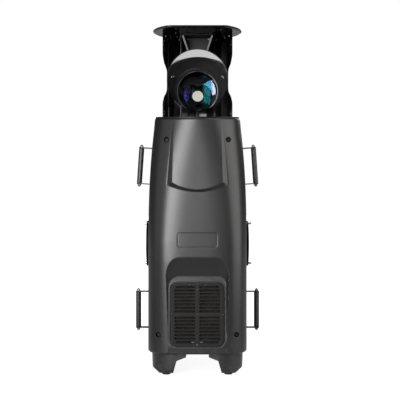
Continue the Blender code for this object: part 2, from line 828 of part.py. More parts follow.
def add_front_cover():
    cover = add_object("front_cover", cover_blank(-1), "charcoal_cover")
    panel = helper("raised_panel", raised_panel(COVER_WALL / 2))
    core = helper("front_core", cover_core(-1))
    frame = grille_frame()
    backing = helper("recess_backing", moved(recess_shape(FLOOR_BACK, COVER_WALL), frame))
    bosses, bores = [], []
    for x, z in screw_places():
        face = surface_y(-1, x, z)
        floor = face + SCREW_BORE_DEPTH
        boss = SCREW_BORE_RADIUS + SCREW_BOSS_WALL
        start = face - CUTTER_REACH / 10
        bosses.append(cylinder(boss, start, floor + COVER_WALL, SMALL_SIDES, "Y", (x, z)))
        bores.append(cylinder(SCREW_BORE_RADIUS, start, floor, SMALL_SIDES, "Y", (x, z)))
    cut(core, backing, helper("screw_bosses", merged(*bosses)))
    recess = helper("recess", moved(recess_shape(0.0, 0.0), frame))
    grille = rounded_rectangle(
        GRILLE_WIDTH + 2 * GRILLE_CLEARANCE,
        GRILLE_HEIGHT + 2 * GRILLE_CLEARANCE,
        GRILLE_CORNER + GRILLE_CLEARANCE,
    )
    pocket_back = GRILLE_THICKNESS + GAP
    pocket = helper("grille_pocket", moved(prism(grille, -RECESS_REACH, pocket_back, "Y"), frame))
    inner = rounded_rectangle(
        GRILLE_WIDTH - 2 * GRILLE_LEDGE,
        GRILLE_HEIGHT - 2 * GRILLE_LEDGE,
        GRILLE_CORNER - GRILLE_LEDGE / 2,
    )
    opening = helper("grille_opening", moved(prism(inner, 0.0, RECESS_REACH, "Y"), frame))
    badge_outline = rounded_rectangle(BADGE_WIDTH, BADGE_HEIGHT, BADGE_CORNER, 3)
    badge = prism(badge_outline, -RECESS_REACH, BADGE_DEPTH, "Y")
    badge = helper("badge_recess", moved(badge, badge_frame()))
    join(cover, panel)
    cut(cover, core, recess, pocket, opening, badge, helper("screw_bores", merged(*bores)))
    cut(cover, side_cutters("front_side_slots"))
    return cover


def add_rear_cover():
    cover = add_object("rear_cover", cover_blank(1), "charcoal_cover")
    vents = []
    for row in range(VENT_ROWS):
        for side in (-1, 1):
            centre = (side * (VENT_LENGTH + VENT_BAR) / 2, VENT_LOW_Z + row * VENT_PITCH)
            outline = rounded_rectangle(VENT_LENGTH, VENT_HEIGHT, VENT_HEIGHT / 2 - GAP, 1, centre)
            vents.append(prism(outline, BODY_DEPTH / 8, BODY_DEPTH, "Y"))
    opening = rounded_rectangle(
        PANEL_OPENING_WIDTH, PANEL_OPENING_HEIGHT, PANEL_OPENING_CORNER, 3, (0.0, PANEL_Z)
    )
    cut(cover, helper("rear_core", cover_core(1)))
    cut(cover, helper("vent_slots", merged(*vents)))
    cut(cover, helper("panel_opening", prism(opening, BODY_DEPTH / 4, BODY_DEPTH, "Y")))
    cut(cover, side_cutters("rear_side_slots"))
    return cover


def slot_outlines():
    """The louvres: two groups of rows over each other on each side of the upright bar."""
    outlines = []
    group_height = (SLOT_ROWS - 1) * SLOT_PITCH
    for side in (-1, 1):
        for group in (-1, 1):
            first = group * (BAR_WIDTH / 2 + SLOT_HEIGHT / 2)
            for row in range(SLOT_ROWS):
                z = first + group * row * group_height / (SLOT_ROWS - 1)
                length = SLOT_LENGTH - (SLOT_END_CUT if row == SLOT_ROWS - 1 else 0.0)
                x = side * (BAR_WIDTH / 2 + length / 2)
                outlines.append(
                    rounded_rectangle(length, SLOT_HEIGHT, SLOT_HEIGHT / 2 - GAP, 1, (x, z))
                )
    return outlines


def add_grille():
    frame = grille_frame()
    outline = rounded_rectangle(GRILLE_WIDTH, GRILLE_HEIGHT, GRILLE_CORNER)
    grille = add_object(
        "intake_grille", moved(prism(outline, 0.0, GRILLE_THICKNESS, "Y"), frame), "dark_bracket"
    )
    reach = 3 * GRILLE_THICKNESS
    slots = [prism(slot, -reach, reach, "Y") for slot in slot_outlines()]
    cut(grille, helper("grille_slots", moved(merged(*slots), frame)))
    width = GRILLE_WIDTH - 2 * GRILLE_LEDGE + 2 * FILTER_OVERLAP
    height = GRILLE_HEIGHT - 2 * GRILLE_LEDGE + 2 * FILTER_OVERLAP
    start = FLOOR_BACK + GAP
    mat = rounded_rectangle(width, height, GRILLE_CORNER / 2, 2)
    add_object(
        "air_filter", moved(prism(mat, start, start + FILTER_THICKNESS, "Y"), frame), "filter_foam"
    )


def add_chassis():
    base = plan_outline(BASE_LOW_Z, BOTTOM_CHAMFER + COVER_WALL + EDGE_CLEARANCE)
    add_object("base_plate", prism(base, BASE_LOW_Z, BASE_TOP_Z), "galvanised")
    for side, name in ((-1, "chassis_left_rail"), (1, "chassis_right_rail")):
        inner = rail_x() - RAIL_FLANGE
        web = rail_x() - RAIL_SHEET
        half = RAIL_DEPTH / 2
        lip = half - RAIL_SHEET
        outline = [
            (rail_x(), -half),
            (rail_x(), half),
            (inner, half),
            (inner, lip),
            (web, lip),
            (web, -lip),
            (inner, -lip),
            (inner, -half),
        ]
        outline = [(side * x, y) for x, y in outline]
        add_object(name, prism(outline, BASE_TOP_Z + GAP, NOSE_LOW_Z - GAP), "galvanised")


def add_nose_plate(lens_frame):
    outline = plan_outline(COVER_TOP_Z, NOSE_PLATE_INSET)
    plate = add_object("nose_plate", prism(outline, NOSE_LOW_Z, NOSE_TOP_Z), "black_paint")
    radius = LENS_RADIUS + GAP + BEZEL_WALL + GAP
    hole = cylinder(radius, NOSE_LOW_Z - CUTTER_REACH, NOSE_TOP_Z + CUTTER_REACH, FINE_SIDES)
    cut(plate, helper("nose_hole", hole, parent=lens_frame))


def add_optics_plate(lens_frame):
    half = rail_x() - RAIL_FLANGE - GAP
    low, high = OPTICS_PLATE_Z, OPTICS_TOP_Z
    plate = add_object(
        "optics_plate",
        box((-half, -OPTICS_PLATE_FRONT, low), (half, OPTICS_PLATE_REAR, high)),
        "galvanised",
        parent=lens_frame,
    )
    reach = RAIL_DEPTH / 2
    for side in (-1, 1):
        start, end = sorted((side * half, side * (half - OPTICS_PLATE_THICKNESS)))
        tab = box(
            (start, -LENS_Y - reach, high - OPTICS_TAB_HEIGHT),
            (end, -LENS_Y + reach, high - OVERLAP),
        )
        join(plate, helper("optics_tab", tab, parent=lens_frame))
    radius = ENGINE_BARREL_RADIUS + EDGE_CLEARANCE
    hole = cylinder(radius, low - CUTTER_REACH, high + CUTTER_REACH)
    cut(plate, helper("engine_hole", hole, parent=lens_frame))


def foot_outlines(side_x, side_y):
    """Three outlines whose common solid is one foot: from above, from the front, from the side."""
    top = BASE_LOW_Z - FOOT_TOP_CLEARANCE
    bottom = PAD_HEIGHT + GAP
    wing = top - FOOT_WING_HEIGHT
    half = BODY_HALF_WIDTH - FOOT_INSET
    face = BODY_DEPTH / 2 - FOOT_INSET
    far = CUTTER_REACH
    above = top + OVERLAP
    front = [
        (FOOT_WING_INNER, above),
        (FOOT_WING_INNER, wing),
        (FOOT_INNER_TOP, wing),
        (FOOT_INNER_BOTTOM, bottom),
        (half - FOOT_DRAFT - FOOT_CHAMFER_RUN, bottom),
        (half - FOOT_DRAFT, bottom + FOOT_CHAMFER),
        (half + OVERLAP, above),
    ]
    leg_back = face - FOOT_LEG_DEPTH
    side = [
        (face - FOOT_WING_DEPTH, above),
        (face - FOOT_WING_DEPTH, wing),
        (leg_back, wing),
        (leg_back + FOOT_CHAMFER, bottom),
        (face - FOOT_DRAFT - FOOT_CHAMFER, bottom),
        (face - FOOT_DRAFT, bottom + FOOT_CHAMFER),
        (face + OVERLAP, above),
    ]
    plan = [
        (FOOT_INNER_TOP, face + far),
        (FOOT_INNER_TOP, face - FOOT_DRAFT),
        (FOOT_WING_INNER, leg_back),
        (FOOT_WING_INNER, 0.0),
        (far, 0.0),
        (far, face + far),
    ]
    return (
        [(side_x * x, side_y * y) for x, y in plan],
        [(side_x * x, z) for x, z in front],
        [(side_y * y, z) for y, z in side],
    )


def add_feet():
    top = BASE_LOW_Z - FOOT_TOP_CLEARANCE
    for side_y, end in ((-1, "front"), (1, "rear")):
        for side_x, hand in ((-1, "left"), (1, "right")):
            name = f"{end}_{hand}"
            plan, front, side = foot_outlines(side_x, side_y)
            blank = prism(plan_outline(BASE_LOW_Z, FOOT_INSET), PAD_HEIGHT / 2, top)
            foot = add_object(f"foot_{name}", blank, "charcoal_cover")
            reach = CUTTER_REACH
            keep_common(
                foot,
                helper(f"foot_plan_{name}", prism(plan, -reach, reach)),
                helper(f"foot_front_{name}", prism(front, -reach, reach, "Y")),
                helper(f"foot_side_{name}", prism(side, -reach, reach, "X")),
            )
            place = (side_x * PAD_X, side_y * (BODY_DEPTH / 2 - PAD_INSET_Y), 0.0)
            edge = PAD_HEIGHT / 8
            profile = [
                (0.0, 0.0),
                (PAD_RADIUS - edge, 0.0),
                (PAD_RADIUS, edge),
                (PAD_RADIUS, PAD_HEIGHT),
                (0.0, PAD_HEIGHT),
            ]
            add_object(f"foot_pad_{name}", turned(profile, SMALL_SIDES), "rubber", place)


def grip_shape():
    """Grip, rod and dome nuts on one axis, standing on Z with its middle at the origin."""
    ear = HANDLE_EAR_SPACING / 2
    grip_end = ear - HANDLE_EAR_THICKNESS / 2 - GAP
    nut_start = ear + HANDLE_EAR_THICKNESS / 2 + GAP
    half = [
        (GRIP_RADIUS, grip_end - 2 * OVERLAP),
        (GRIP_RADIUS - OVERLAP, grip_end),
        (GRIP_ROD_RADIUS, grip_end),
        (GRIP_ROD_RADIUS, nut_start),
        (NUT_RADIUS, nut_start),
    ]
    half += spherical_cap(NUT_RADIUS, NUT_DOME, nut_start + NUT_HEIGHT - NUT_DOME, 2)
    return turned([(radius, -z) for radius, z in reversed(half)] + half, SMALL_SIDES)


def add_handles():
    holes = HANDLE_EAR_SPACING
    for z, level in ((HANDLE_LOWER_Z, "lower"), (HANDLE_UPPER_Z, "upper")):
        for side, hand in ((-1, "left"), (1, "right")):
            name = f"{level}_{hand}"
            reach = HANDLE_EAR_WIDTH / 2
            shape = prism(handle_outline(side, z), -reach, reach, "Y")
            tips = half_width(z) + HANDLE_REACH
            edges = [
                edge
                for edge in shape.edges
                if all(abs(vert.co.x) > tips for vert in edge.verts)
                and edge.verts[0].co.y == edge.verts[1].co.y
            ]
            bmesh.ops.bevel(
                shape, geom=edges, offset=HANDLE_EAR_ROUND, segments=2, profile=0.5, affect="EDGES"
            )
            bracket = add_object(f"handle_bracket_{name}", shape, "dark_bracket")
            place = (side * (half_width(z) + HANDLE_REACH), 0.0, z)
            lean = (0.0, -side * side_slope(z), 0.0)
            rod_hole = cylinder(GRIP_ROD_RADIUS + GAP, -holes, holes, SMALL_SIDES)
            cut(bracket, helper(f"rod_hole_{name}", rod_hole, place, lean))
            add_object(f"handle_grip_{name}", grip_shape(), "black_grip", place, lean)


def add_yoke_discs():
    for side, hand in ((-1, "left"), (1, "right")):
        face = YOKE_FACE_X
        back = rail_x() + GAP
        profile = [
            (0.0, back),
            (YOKE_BOSS_RADIUS, back),
            (YOKE_BOSS_RADIUS, face - YOKE_THICKNESS),
            (YOKE_RADIUS, face - YOKE_THICKNESS),
            (YOKE_RADIUS, face - OVERLAP),
            (YOKE_RADIUS - OVERLAP, face),
            (YOKE_HUB_RADIUS, face),
            (YOKE_HUB_RADIUS, face + YOKE_HUB_HEIGHT),
            (YOKE_BORE_RADIUS, face + YOKE_HUB_HEIGHT),
            (YOKE_BORE_RADIUS, face - YOKE_BORE_DEPTH),
            (0.0, face - YOKE_BORE_DEPTH),
        ]
        place = (0.0, 0.0, YOKE_Z)
        turn = (0.0, side * math.pi / 2, 0.0)
        disc = add_object(f"yoke_disc_{hand}", turned(profile), "black_paint", place, turn)
        studs = [
            cylinder(
                YOKE_STUD_RADIUS,
                face - YOKE_THICKNESS / 2,
                face + YOKE_STUD_LENGTH,
                SMALL_SIDES,
                "Z",
                (end * YOKE_STUD_OFFSET, 0.0),
            )
            for end in (-1, 1)
        ]
        join(disc, helper(f"yoke_studs_{hand}", merged(*studs), place, turn))


def trough_line(inset):
    """Plan of the trough's sheet: straight sides, then a half round folded into flats with ribs."""
    points = [(-(TROUGH_RADIUS - inset), TROUGH_FRONT_Y)]
    pitch = math.pi / TROUGH_FACETS
    for fold in range(TROUGH_FACETS + 1):
        turn = math.pi - fold * pitch
        half = TROUGH_RIB_WIDTH / 2 / TROUGH_RADIUS
        radius = TROUGH_RADIUS - inset
        ribbed = 0 < fold < TROUGH_FACETS and fold % 2 == 0
        places = [(turn, radius)]
        if ribbed:
            places = [(turn + half, radius), (turn, radius - TROUGH_RIB), (turn - half, radius)]
        for angle, reach in places:
            points.append((reach * math.cos(angle), TROUGH_ARC_Y + reach * math.sin(angle)))
    return points + [(TROUGH_RADIUS - inset, TROUGH_FRONT_Y)]


def scoop_outline():
    """The side scoops, seen along X: a smooth ramp back, a straight stretch and a ramp forward."""
    points = []
    for ramp, start in ((1, SCOOP_LOW_Z), (-1, SCOOP_HIGH_Z - SCOOP_RAMP)):
        for step in range(SCOOP_STEPS + 1):
            share = step / SCOOP_STEPS
            rise = (1 - math.cos(math.pi * share)) / 2
            depth = rise if ramp > 0 else 1 - rise
            points.append((TROUGH_FRONT_Y + SCOOP_DEPTH * depth, start + SCOOP_RAMP * share))
    front = TROUGH_FRONT_Y - CUTTER_REACH
    return [(front, points[0][1])] + points + [(front, points[-1][1])]


def add_trough(lens_frame):
    low, high = NOSE_TOP_Z + GAP, HEAD_UNDERSIDE_Z - GAP
    sheet = trough_line(0.0) + trough_line(TROUGH_SHEET)[::-1]
    trough = add_object("mirror_trough", prism(sheet, low, high), "black_paint", parent=lens_frame)
    ring = trough_line(OVERLAP) + trough_line(TROUGH_SHEET + TROUGH_FLANGE)[::-1]
    for name, start in (("lower", low), ("upper", high - TROUGH_SHEET)):
        flange = prism(ring, start, start + TROUGH_SHEET)
        join(trough, helper(f"trough_{name}_flange", flange, parent=lens_frame))
    scoop = prism(scoop_outline(), -CUTTER_REACH, CUTTER_REACH, "X")
    cut(trough, helper("trough_scoop", scoop, parent=lens_frame))


def add_head_disc(lens_frame):
    low = HEAD_UNDERSIDE_Z
    profile = [
        (0.0, low),
        (DISC_RADIUS - 2 * DISC_BEVEL, low),
        (DISC_RADIUS, low + DISC_BEVEL),
        (DISC_RADIUS, HEIGHT - OVERLAP),
        (DISC_RADIUS - OVERLAP, HEIGHT),
        (0.0, HEIGHT),
    ]
    round_disc = turned(profile, FINE_SIDES + SMALL_SIDES)
    disc = add_object("head_disc", round_disc, "black_paint", parent=lens_frame)
    flat = box(
        (-DISC_RADIUS, -DISC_FLAT - CUTTER_REACH, low - CUTTER_REACH),
        (DISC_RADIUS, -DISC_FLAT, HEIGHT + CUTTER_REACH),
    )
    cut(disc, helper("disc_flat", flat, parent=lens_frame))


def add_pan_bracket(lens_frame):
    low, high = HAT_PLATE_LOW_Z, HAT_TOP_Z
    half = HAT_HALF_WIDTH
    plate = add_object(
        "pan_motor_bracket",
        box((-half, -HAT_FRONT, low), (half, HAT_REAR, low + HAT_SHEET)),
        "black_paint",
        parent=lens_frame,
    )
    walls = []
    for side in (-1, 1):
        start, end = sorted((side * half, side * (half - HAT_SHEET)))
        walls.append(box((start, -HAT_FRONT + OVERLAP, low + OVERLAP), (end, HAT_REAR, high)))
    lip = box(
        (-half - OVERLAP, -HAT_FRONT - HAT_SHEET + OVERLAP, high - HAT_LIP),
        (half + OVERLAP, -HAT_FRONT + OVERLAP * 2, high),
    )
    join(plate, helper("hat_walls", merged(*walls), parent=lens_frame))
    join(plate, helper("hat_lip", lip, parent=lens_frame))
    start, end = low - CUTTER_REACH, high + CUTTER_REACH
    holes = [
        cylinder(PAN_SHAFT_RADIUS + RUNNING_CLEARANCE, start, end),
        cylinder(MOTOR_PILOT_RADIUS, start, end, SMALL_SIDES, "Z", (0.0, PAN_MOTOR_Y)),
    ]
    cut(plate, helper("hat_holes", merged(*holes), parent=lens_frame))


def motor_shape(radius, low, high, shaft_top):
    """A small motor on Z: body with turned ends, pilot and shaft."""
    edge = OVERLAP
    return turned(
        [
            (0.0, low),
            (radius - edge, low),
            (radius, low + edge),
            (radius, high - edge),
            (radius - edge, high),
            (MOTOR_SHAFT_RADIUS, high),
            (MOTOR_SHAFT_RADIUS, shaft_top),
            (0.0, shaft_top),
        ],
        SMALL_SIDES,
    )


def belt_line(grow):
    """Two arcs round the pulleys, joined by straight tangents."""
    big = PAN_PULLEY_RADIUS + GAP + grow
    small = MOTOR_PULLEY_RADIUS + GAP + grow
    lean = math.asin((big - small) / PAN_MOTOR_Y)
    points = []
    for radius, centre, start, sweep, steps in (
        (big, 0.0, math.pi - lean, math.pi + 2 * lean, 14),
        (small, PAN_MOTOR_Y, lean, math.pi - 2 * lean, 6),
    ):
        for step in range(steps + 1):
            turn = start + sweep * step / steps
            points.append((radius * math.cos(turn), centre + radius * math.sin(turn)))
    return points


def ring_prism(outer, inner, low, high):
    """A band between two outlines of equally many points."""
    shape = bmesh.new()
    loops = [
        [shape.verts.new((x, y, z)) for x, y in line]
        for line, z in ((outer, low), (outer, high), (inner, high), (inner, low))
    ]
    for here, there in zip(loops, loops[1:] + loops[:1]):
        for step in range(len(here)):
            after = (step + 1) % len(here)
            shape.faces.new((here[step], here[after], there[after], there[step]))
    return shape


def add_pan_drive(lens_frame):
    middle = (PULLEY_LOW_Z + PULLEY_LOW_Z + PULLEY_HEIGHT) / 2
    place = (0.0, PAN_MOTOR_Y, 0.0)
    body_top = HAT_PLATE_LOW_Z - GAP
    motor = motor_shape(
        PAN_MOTOR_RADIUS, body_top - PAN_MOTOR_LENGTH, body_top, PULLEY_LOW_Z + PULLEY_HEIGHT
    )
    add_object("pan_motor", motor, "motor_steel", place, parent=lens_frame)
    bore = MOTOR_SHAFT_RADIUS + GAP
    pulley = turned(
        [
            (bore, 0.0),
            (MOTOR_PULLEY_RADIUS, 0.0),
            (MOTOR_PULLEY_RADIUS, PULLEY_HEIGHT),
            (bore, PULLEY_HEIGHT),
        ],
        SMALL_SIDES,
    )
    add_object(
        "pan_motor_pulley",
        pulley,
        "aluminium",
        (0.0, PAN_MOTOR_Y, PULLEY_LOW_Z),
        parent=lens_frame,
    )
    belt = ring_prism(
        belt_line(BELT_THICKNESS), belt_line(0.0), middle - BELT_HEIGHT / 2, middle + BELT_HEIGHT / 2
    )
    add_object("pan_belt", belt, "belt_rubber", parent=lens_frame)


def arm_ring(z, half, depth):
    """The folded channel of the pan arm at one height: web behind, flanges towards the mirror."""
    inner = half - ARM_SHEET
    web = ARM_WEB_Y - ARM_SHEET
    return [
        (-half, -depth, z),
        (-half, ARM_WEB_Y, z),
        (half, ARM_WEB_Y, z),
        (half, -depth, z),
        (inner, -depth, z),
        (inner, web, z),
        (-inner, web, z),
        (-inner, -depth, z),
    ]


def add_pan_arm(lens_frame):
    rings = []
    for step in range(5):
        share = step / 4
        turn = math.pi / 2 * (1 - share)
        z = -ARM_TIP * math.sin(turn)
        rings.append(arm_ring(z, ARM_LOW_HALF_WIDTH, max(OVERLAP, ARM_LOW_DEPTH * math.cos(turn))))
    rings.append(arm_ring(ARM_TAPER_Z - TILT_Z, ARM_LOW_HALF_WIDTH, ARM_LOW_DEPTH))
    rings.append(arm_ring(ARM_TOP_Z - TILT_Z, ARM_TOP_HALF_WIDTH, ARM_TOP_DEPTH))
    place = (0.0, 0.0, TILT_Z)
    arm = add_object("pan_arm", loft(rings), "dark_bracket", place, parent=lens_frame)
    top = ARM_TOP_Z - TILT_Z
    inner = ARM_TOP_HALF_WIDTH - ARM_SHEET / 2
    cap = box((-inner, -ARM_TOP_DEPTH, top - ARM_SHEET), (inner, ARM_WEB_Y - OVERLAP, top))
    pulley_low = PULLEY_LOW_Z - TILT_Z
    hub = turned(
        [
            (0.0, top - ARM_SHEET / 2),
            (PAN_SHAFT_RADIUS, top - ARM_SHEET / 2),
            (PAN_SHAFT_RADIUS, pulley_low),
            (PAN_PULLEY_RADIUS, pulley_low),
            (PAN_PULLEY_RADIUS, pulley_low + PULLEY_HEIGHT),
            (0.0, pulley_low + PULLEY_HEIGHT),
        ],
    )
    join(
        arm,
        helper("arm_cap", cap, parent=arm),
        helper("pan_hub", hub, parent=arm),
    )
    shaft_hole = cylinder(
        TILT_SHAFT_RADIUS + RUNNING_CLEARANCE, -CUTTER_REACH, CUTTER_REACH, SMALL_SIDES, "X"
    )
    cut(arm, helper("arm_shaft_hole", shaft_hole, parent=arm))
    inner = ARM_LOW_HALF_WIDTH - ARM_SHEET - GAP
    profile = [
        (0.0, -TILT_SHAFT_REACH),
        (TILT_SHAFT_RADIUS, -TILT_SHAFT_REACH),
        (TILT_SHAFT_RADIUS, -inner),
        (TILT_MOTOR_RADIUS, -inner),
        (TILT_MOTOR_RADIUS, inner),
        (TILT_SHAFT_RADIUS, inner),
        (TILT_SHAFT_RADIUS, TILT_SHAFT_REACH),
        (0.0, TILT_SHAFT_REACH),
    ]
    add_object(
        "tilt_motor", turned(profile), "motor_steel", rotation=(0, math.pi / 2, 0), parent=arm
    )
    return arm


def add_mirror(arm):
    """The glass and its holder: in their own frame the glass faces -Z, and the tilt axis is X."""
    rest = (-MIRROR_REST, 0.0, 0.0)
    glass_back = -MIRROR_STANDOFF + MIRROR_GLASS
    plate_low = glass_back + GAP
    plate_high = plate_low + HOLDER_SHEET
    plate = prism(
        circle(HOLDER_HALF_WIDTH, MIRROR_SIDES, radius_b=HOLDER_HALF_LENGTH), plate_low, plate_high
    )
    holder = add_object("mirror_holder", plate, "dark_bracket", rotation=rest, parent=arm)
    ear_start = ARM_LOW_HALF_WIDTH + HOLDER_EAR_CLEARANCE
    ears = []
    for side in (-1, 1):
        outline = [(-HOLDER_EAR_BASE, plate_low + OVERLAP), (HOLDER_EAR_BASE, plate_low + OVERLAP)]
        for step in range(9):
            turn = math.pi * step / 8
            outline.append((HOLDER_EAR_RADIUS * math.cos(turn), HOLDER_EAR_RADIUS * math.sin(turn)))
        start, end = sorted((side * ear_start, side * (ear_start + ARM_SHEET)))
        ears.append(prism(outline, start, end, "X"))
    join(holder, helper("holder_ears", merged(*ears), parent=holder))
    pin = cylinder(TILT_SHAFT_RADIUS + GAP, -CUTTER_REACH, CUTTER_REACH, SMALL_SIDES, "X")
    cut(holder, helper("holder_pin_hole", pin, parent=holder))
    rings = []
    for inset, z in (
        (MIRROR_BEVEL, -MIRROR_STANDOFF),
        (0.0, -MIRROR_STANDOFF + MIRROR_BEVEL),
        (0.0, glass_back),
    ):
        line = circle(
            MIRROR_HALF_WIDTH - inset, MIRROR_SIDES, radius_b=MIRROR_HALF_LENGTH - inset
        )
        rings.append([(x, y, z) for x, y in line])
    add_object("mirror", loft(rings), "mirror_glass", rotation=rest, parent=arm)


def add_objective(lens_frame):
    bore = LENS_RADIUS + GAP
    outer = bore + BEZEL_WALL
    seat = LENS_EDGE_Z - GAP
    flange = outer + BEZEL_FLANGE
    low = seat - BEZEL_DEPTH
    above = NOSE_TOP_Z + GAP
    top = above + BEZEL_RISE
    ledge = bore - BEZEL_WALL
    profile = [
        (ledge, low),
        (outer, low),
        (outer, above),
        (flange, above),
        (flange, above + BEZEL_RISE / 2),
        (flange - BEZEL_RISE, top),
        (bore, top),
        (bore, seat),
        (ledge, seat),
    ]
    add_object("lens_bezel", turned(profile, FINE_SIDES), "black_paint", parent=lens_frame)
    lens = [(0.0, LENS_EDGE_Z), (LENS_RADIUS, LENS_EDGE_Z)]
    lens += spherical_cap(LENS_RADIUS, LENS_DOME, LENS_EDGE_Z + LENS_EDGE)
    add_object("objective_lens", turned(lens, FINE_SIDES), "lens_glass", parent=lens_frame)


def add_focus(lens_frame):
    half = CARRIAGE_THICKNESS / 2
    outer = CARRIAGE_LENS_RADIUS + CARRIAGE_RING
    ring = cylinder(outer, -half, half)
    carriage = add_object(
        "focus_carriage", ring, "aluminium", (0.0, 0.0, CARRIAGE_Z), parent=lens_frame
    )
    reach = GUIDE_X + CARRIAGE_BAR_END
    width = CARRIAGE_BAR_WIDTH
    bar = rounded_rectangle(2 * reach, width, width / 2 - GAP, 3, (0.0, GUIDE_Y))
    through = 3 * half
    cutters = [cylinder(CARRIAGE_LENS_RADIUS, -through, through)]
    hole = GUIDE_RADIUS + RUNNING_CLEARANCE
    for side in (-1, 1):
        middle = (side * GUIDE_X, GUIDE_Y)
        cutters.append(cylinder(hole, -through, through, SMALL_SIDES, "Z", middle))
    join(carriage, helper("carriage_bar", prism(bar, -half, half), parent=carriage))
    cut(carriage, helper("carriage_bores", merged(*cutters), parent=carriage))
    rim = CARRIAGE_LENS_RADIUS + OVERLAP
    edge = half / 3
    cap = spherical_cap(rim, half, edge, 2)
    profile = [(radius, -z) for radius, z in reversed(cap)] + cap
    join(carriage, helper("carriage_lens", turned(profile, SMALL_SIDES), parent=carriage))
    low, high = OPTICS_TOP_Z + GAP, NOSE_LOW_Z - GAP
    for side, hand in ((-1, "left"), (1, "right")):
        rod = cylinder(GUIDE_RADIUS, 0.0, high - low, SMALL_SIDES)
        place = (side * GUIDE_X, GUIDE_Y, low)
        add_object(f"guide_rod_{hand}", rod, "motor_steel", place, parent=lens_frame)


def add_wheel(name, side, plate_z, lens_frame, material):
    """A wheel of open stations that turns one of them at a time over the lens axis."""
    centre = Vector((side * WHEEL_OFFSET_X, WHEEL_OFFSET_Y))
    radius = WHEEL_ORBIT + WHEEL_HOLE_RADIUS + WHEEL_RIM
    bore = MOTOR_SHAFT_RADIUS + GAP
    profile = [
        (bore, -WHEEL_HUB_DROP),
        (WHEEL_HUB_RADIUS, -WHEEL_HUB_DROP),
        (WHEEL_HUB_RADIUS, 0.0),
        (radius, 0.0),
        (radius, WHEEL_THICKNESS),
        (bore, WHEEL_THICKNESS),
    ]
    place = (centre.x, centre.y, plate_z)
    wheel = add_object(f"{name}_wheel", turned(profile), material, place, parent=lens_frame)
    toward_axis = math.atan2(-centre.y, -centre.x)
    stations = []
    for station in range(WHEEL_HOLES):
        turn = toward_axis + 2 * math.pi * station / WHEEL_HOLES
        middle = (WHEEL_ORBIT * math.cos(turn), WHEEL_ORBIT * math.sin(turn))
        hole = cylinder(WHEEL_HOLE_RADIUS, -OVERLAP, 3 * OVERLAP, SMALL_SIDES, "Z", middle)
        stations.append(hole)
    cut(wheel, helper(f"{name}_stations", merged(*stations), parent=wheel))
    low = OPTICS_TOP_Z + GAP
    motor = motor_shape(
        WHEEL_MOTOR_RADIUS, 0.0, WHEEL_MOTOR_LENGTH, plate_z + WHEEL_THICKNESS - low
    )
    add_object(
        f"{name}_motor", motor, "motor_steel", (centre.x, centre.y, low), parent=lens_frame
    )


def add_led_engine(lens_frame):
    flange_top = OPTICS_PLATE_Z - GAP
    flange_low = flange_top - ENGINE_FLANGE
    profile = [
        (0.0, flange_low),
        (ENGINE_FLANGE_RADIUS, flange_low),
        (ENGINE_FLANGE_RADIUS, flange_top),
        (ENGINE_BARREL_RADIUS, flange_top),
        (ENGINE_BARREL_RADIUS, ENGINE_TOP_Z - ENGINE_BARREL_RADIUS + ENGINE_FACE_RADIUS),
        (ENGINE_FACE_RADIUS, ENGINE_TOP_Z),
        (0.0, ENGINE_TOP_Z),
    ]
    add_object("led_engine", turned(profile), "led_cream", parent=lens_frame)
    half = SINK_WIDTH / 2
    pitch = (SINK_WIDTH - SINK_FIN) / (SINK_FINS - 1)
    spine = SINK_SPINE / 2
    comb = []
    for side in (-1, 1):
        for fin in range(SINK_FINS):
            start = -half + fin * pitch
            end = start + SINK_FIN
            tooth = [(start, spine), (start, half), (end, half), (end, spine)]
            comb += [(side * x, side * y) for x, y in tooth]
    top = flange_low - GAP
    low = top - SINK_HEIGHT
    sink = add_object(
        "led_heat_sink", prism(comb, low, top - OVERLAP), "aluminium", parent=lens_frame
    )
    cap = box((-half, -half, top - SINK_CAP), (half, half, top))
    join(sink, helper("sink_cap", cap, parent=lens_frame))
    return low


def add_fan(lens_frame, sink_low):
    high = sink_low - GAP
    low = high - FAN_DEPTH
    half = FAN_WIDTH / 2
    frame = add_object(
        "fan_frame",
        prism(rounded_rectangle(FAN_WIDTH, FAN_WIDTH, FAN_CORNER, 2), low, high),
        "black_plastic",
        parent=lens_frame,
    )
    bore = cylinder(FAN_BORE_RADIUS, low - CUTTER_REACH, high + CUTTER_REACH)
    cut(frame, helper("fan_bore", bore, parent=lens_frame))
    strut_top = low + FAN_STRUT
    reach, wide = half - OVERLAP, FAN_STRUT / 2
    plate = cylinder(FAN_HUB_RADIUS, low, strut_top, SMALL_SIDES)
    along_x = box((-reach, -wide, low), (reach, wide, strut_top))
    along_y = box((-wide, -reach, low), (wide, reach, strut_top))
    join(
        frame,
        helper("fan_strut_x", along_x, parent=lens_frame),
        helper("fan_strut_y", along_y, parent=lens_frame),
        helper("fan_hub_plate", plate, parent=lens_frame),
    )
    hub_low = strut_top + EDGE_CLEARANCE
    hub_high = high - 2 * OVERLAP
    height = hub_high - hub_low
    hub = cylinder(FAN_HUB_RADIUS, 0.0, height, SMALL_SIDES)
    impeller = add_object(
        "fan_impeller", hub, "black_plastic", (0.0, 0.0, hub_low), parent=lens_frame
    )
    tip = FAN_BORE_RADIUS - FAN_TIP_CLEARANCE
    root = FAN_HUB_RADIUS - 2 * OVERLAP
    for blade in range(FAN_BLADES):
        rings = []
        for radius, (pitch, chord) in zip((root, (root + tip) / 2, tip), BLADE_SECTIONS):
            rings.append(blade_ring(radius, math.radians(pitch), chord, height / 2))
        turn = Matrix.Rotation(2 * math.pi * blade / FAN_BLADES, 4, "Z")
        join(impeller, helper(f"fan_blade_{blade}", moved(loft(rings), turn), parent=impeller))


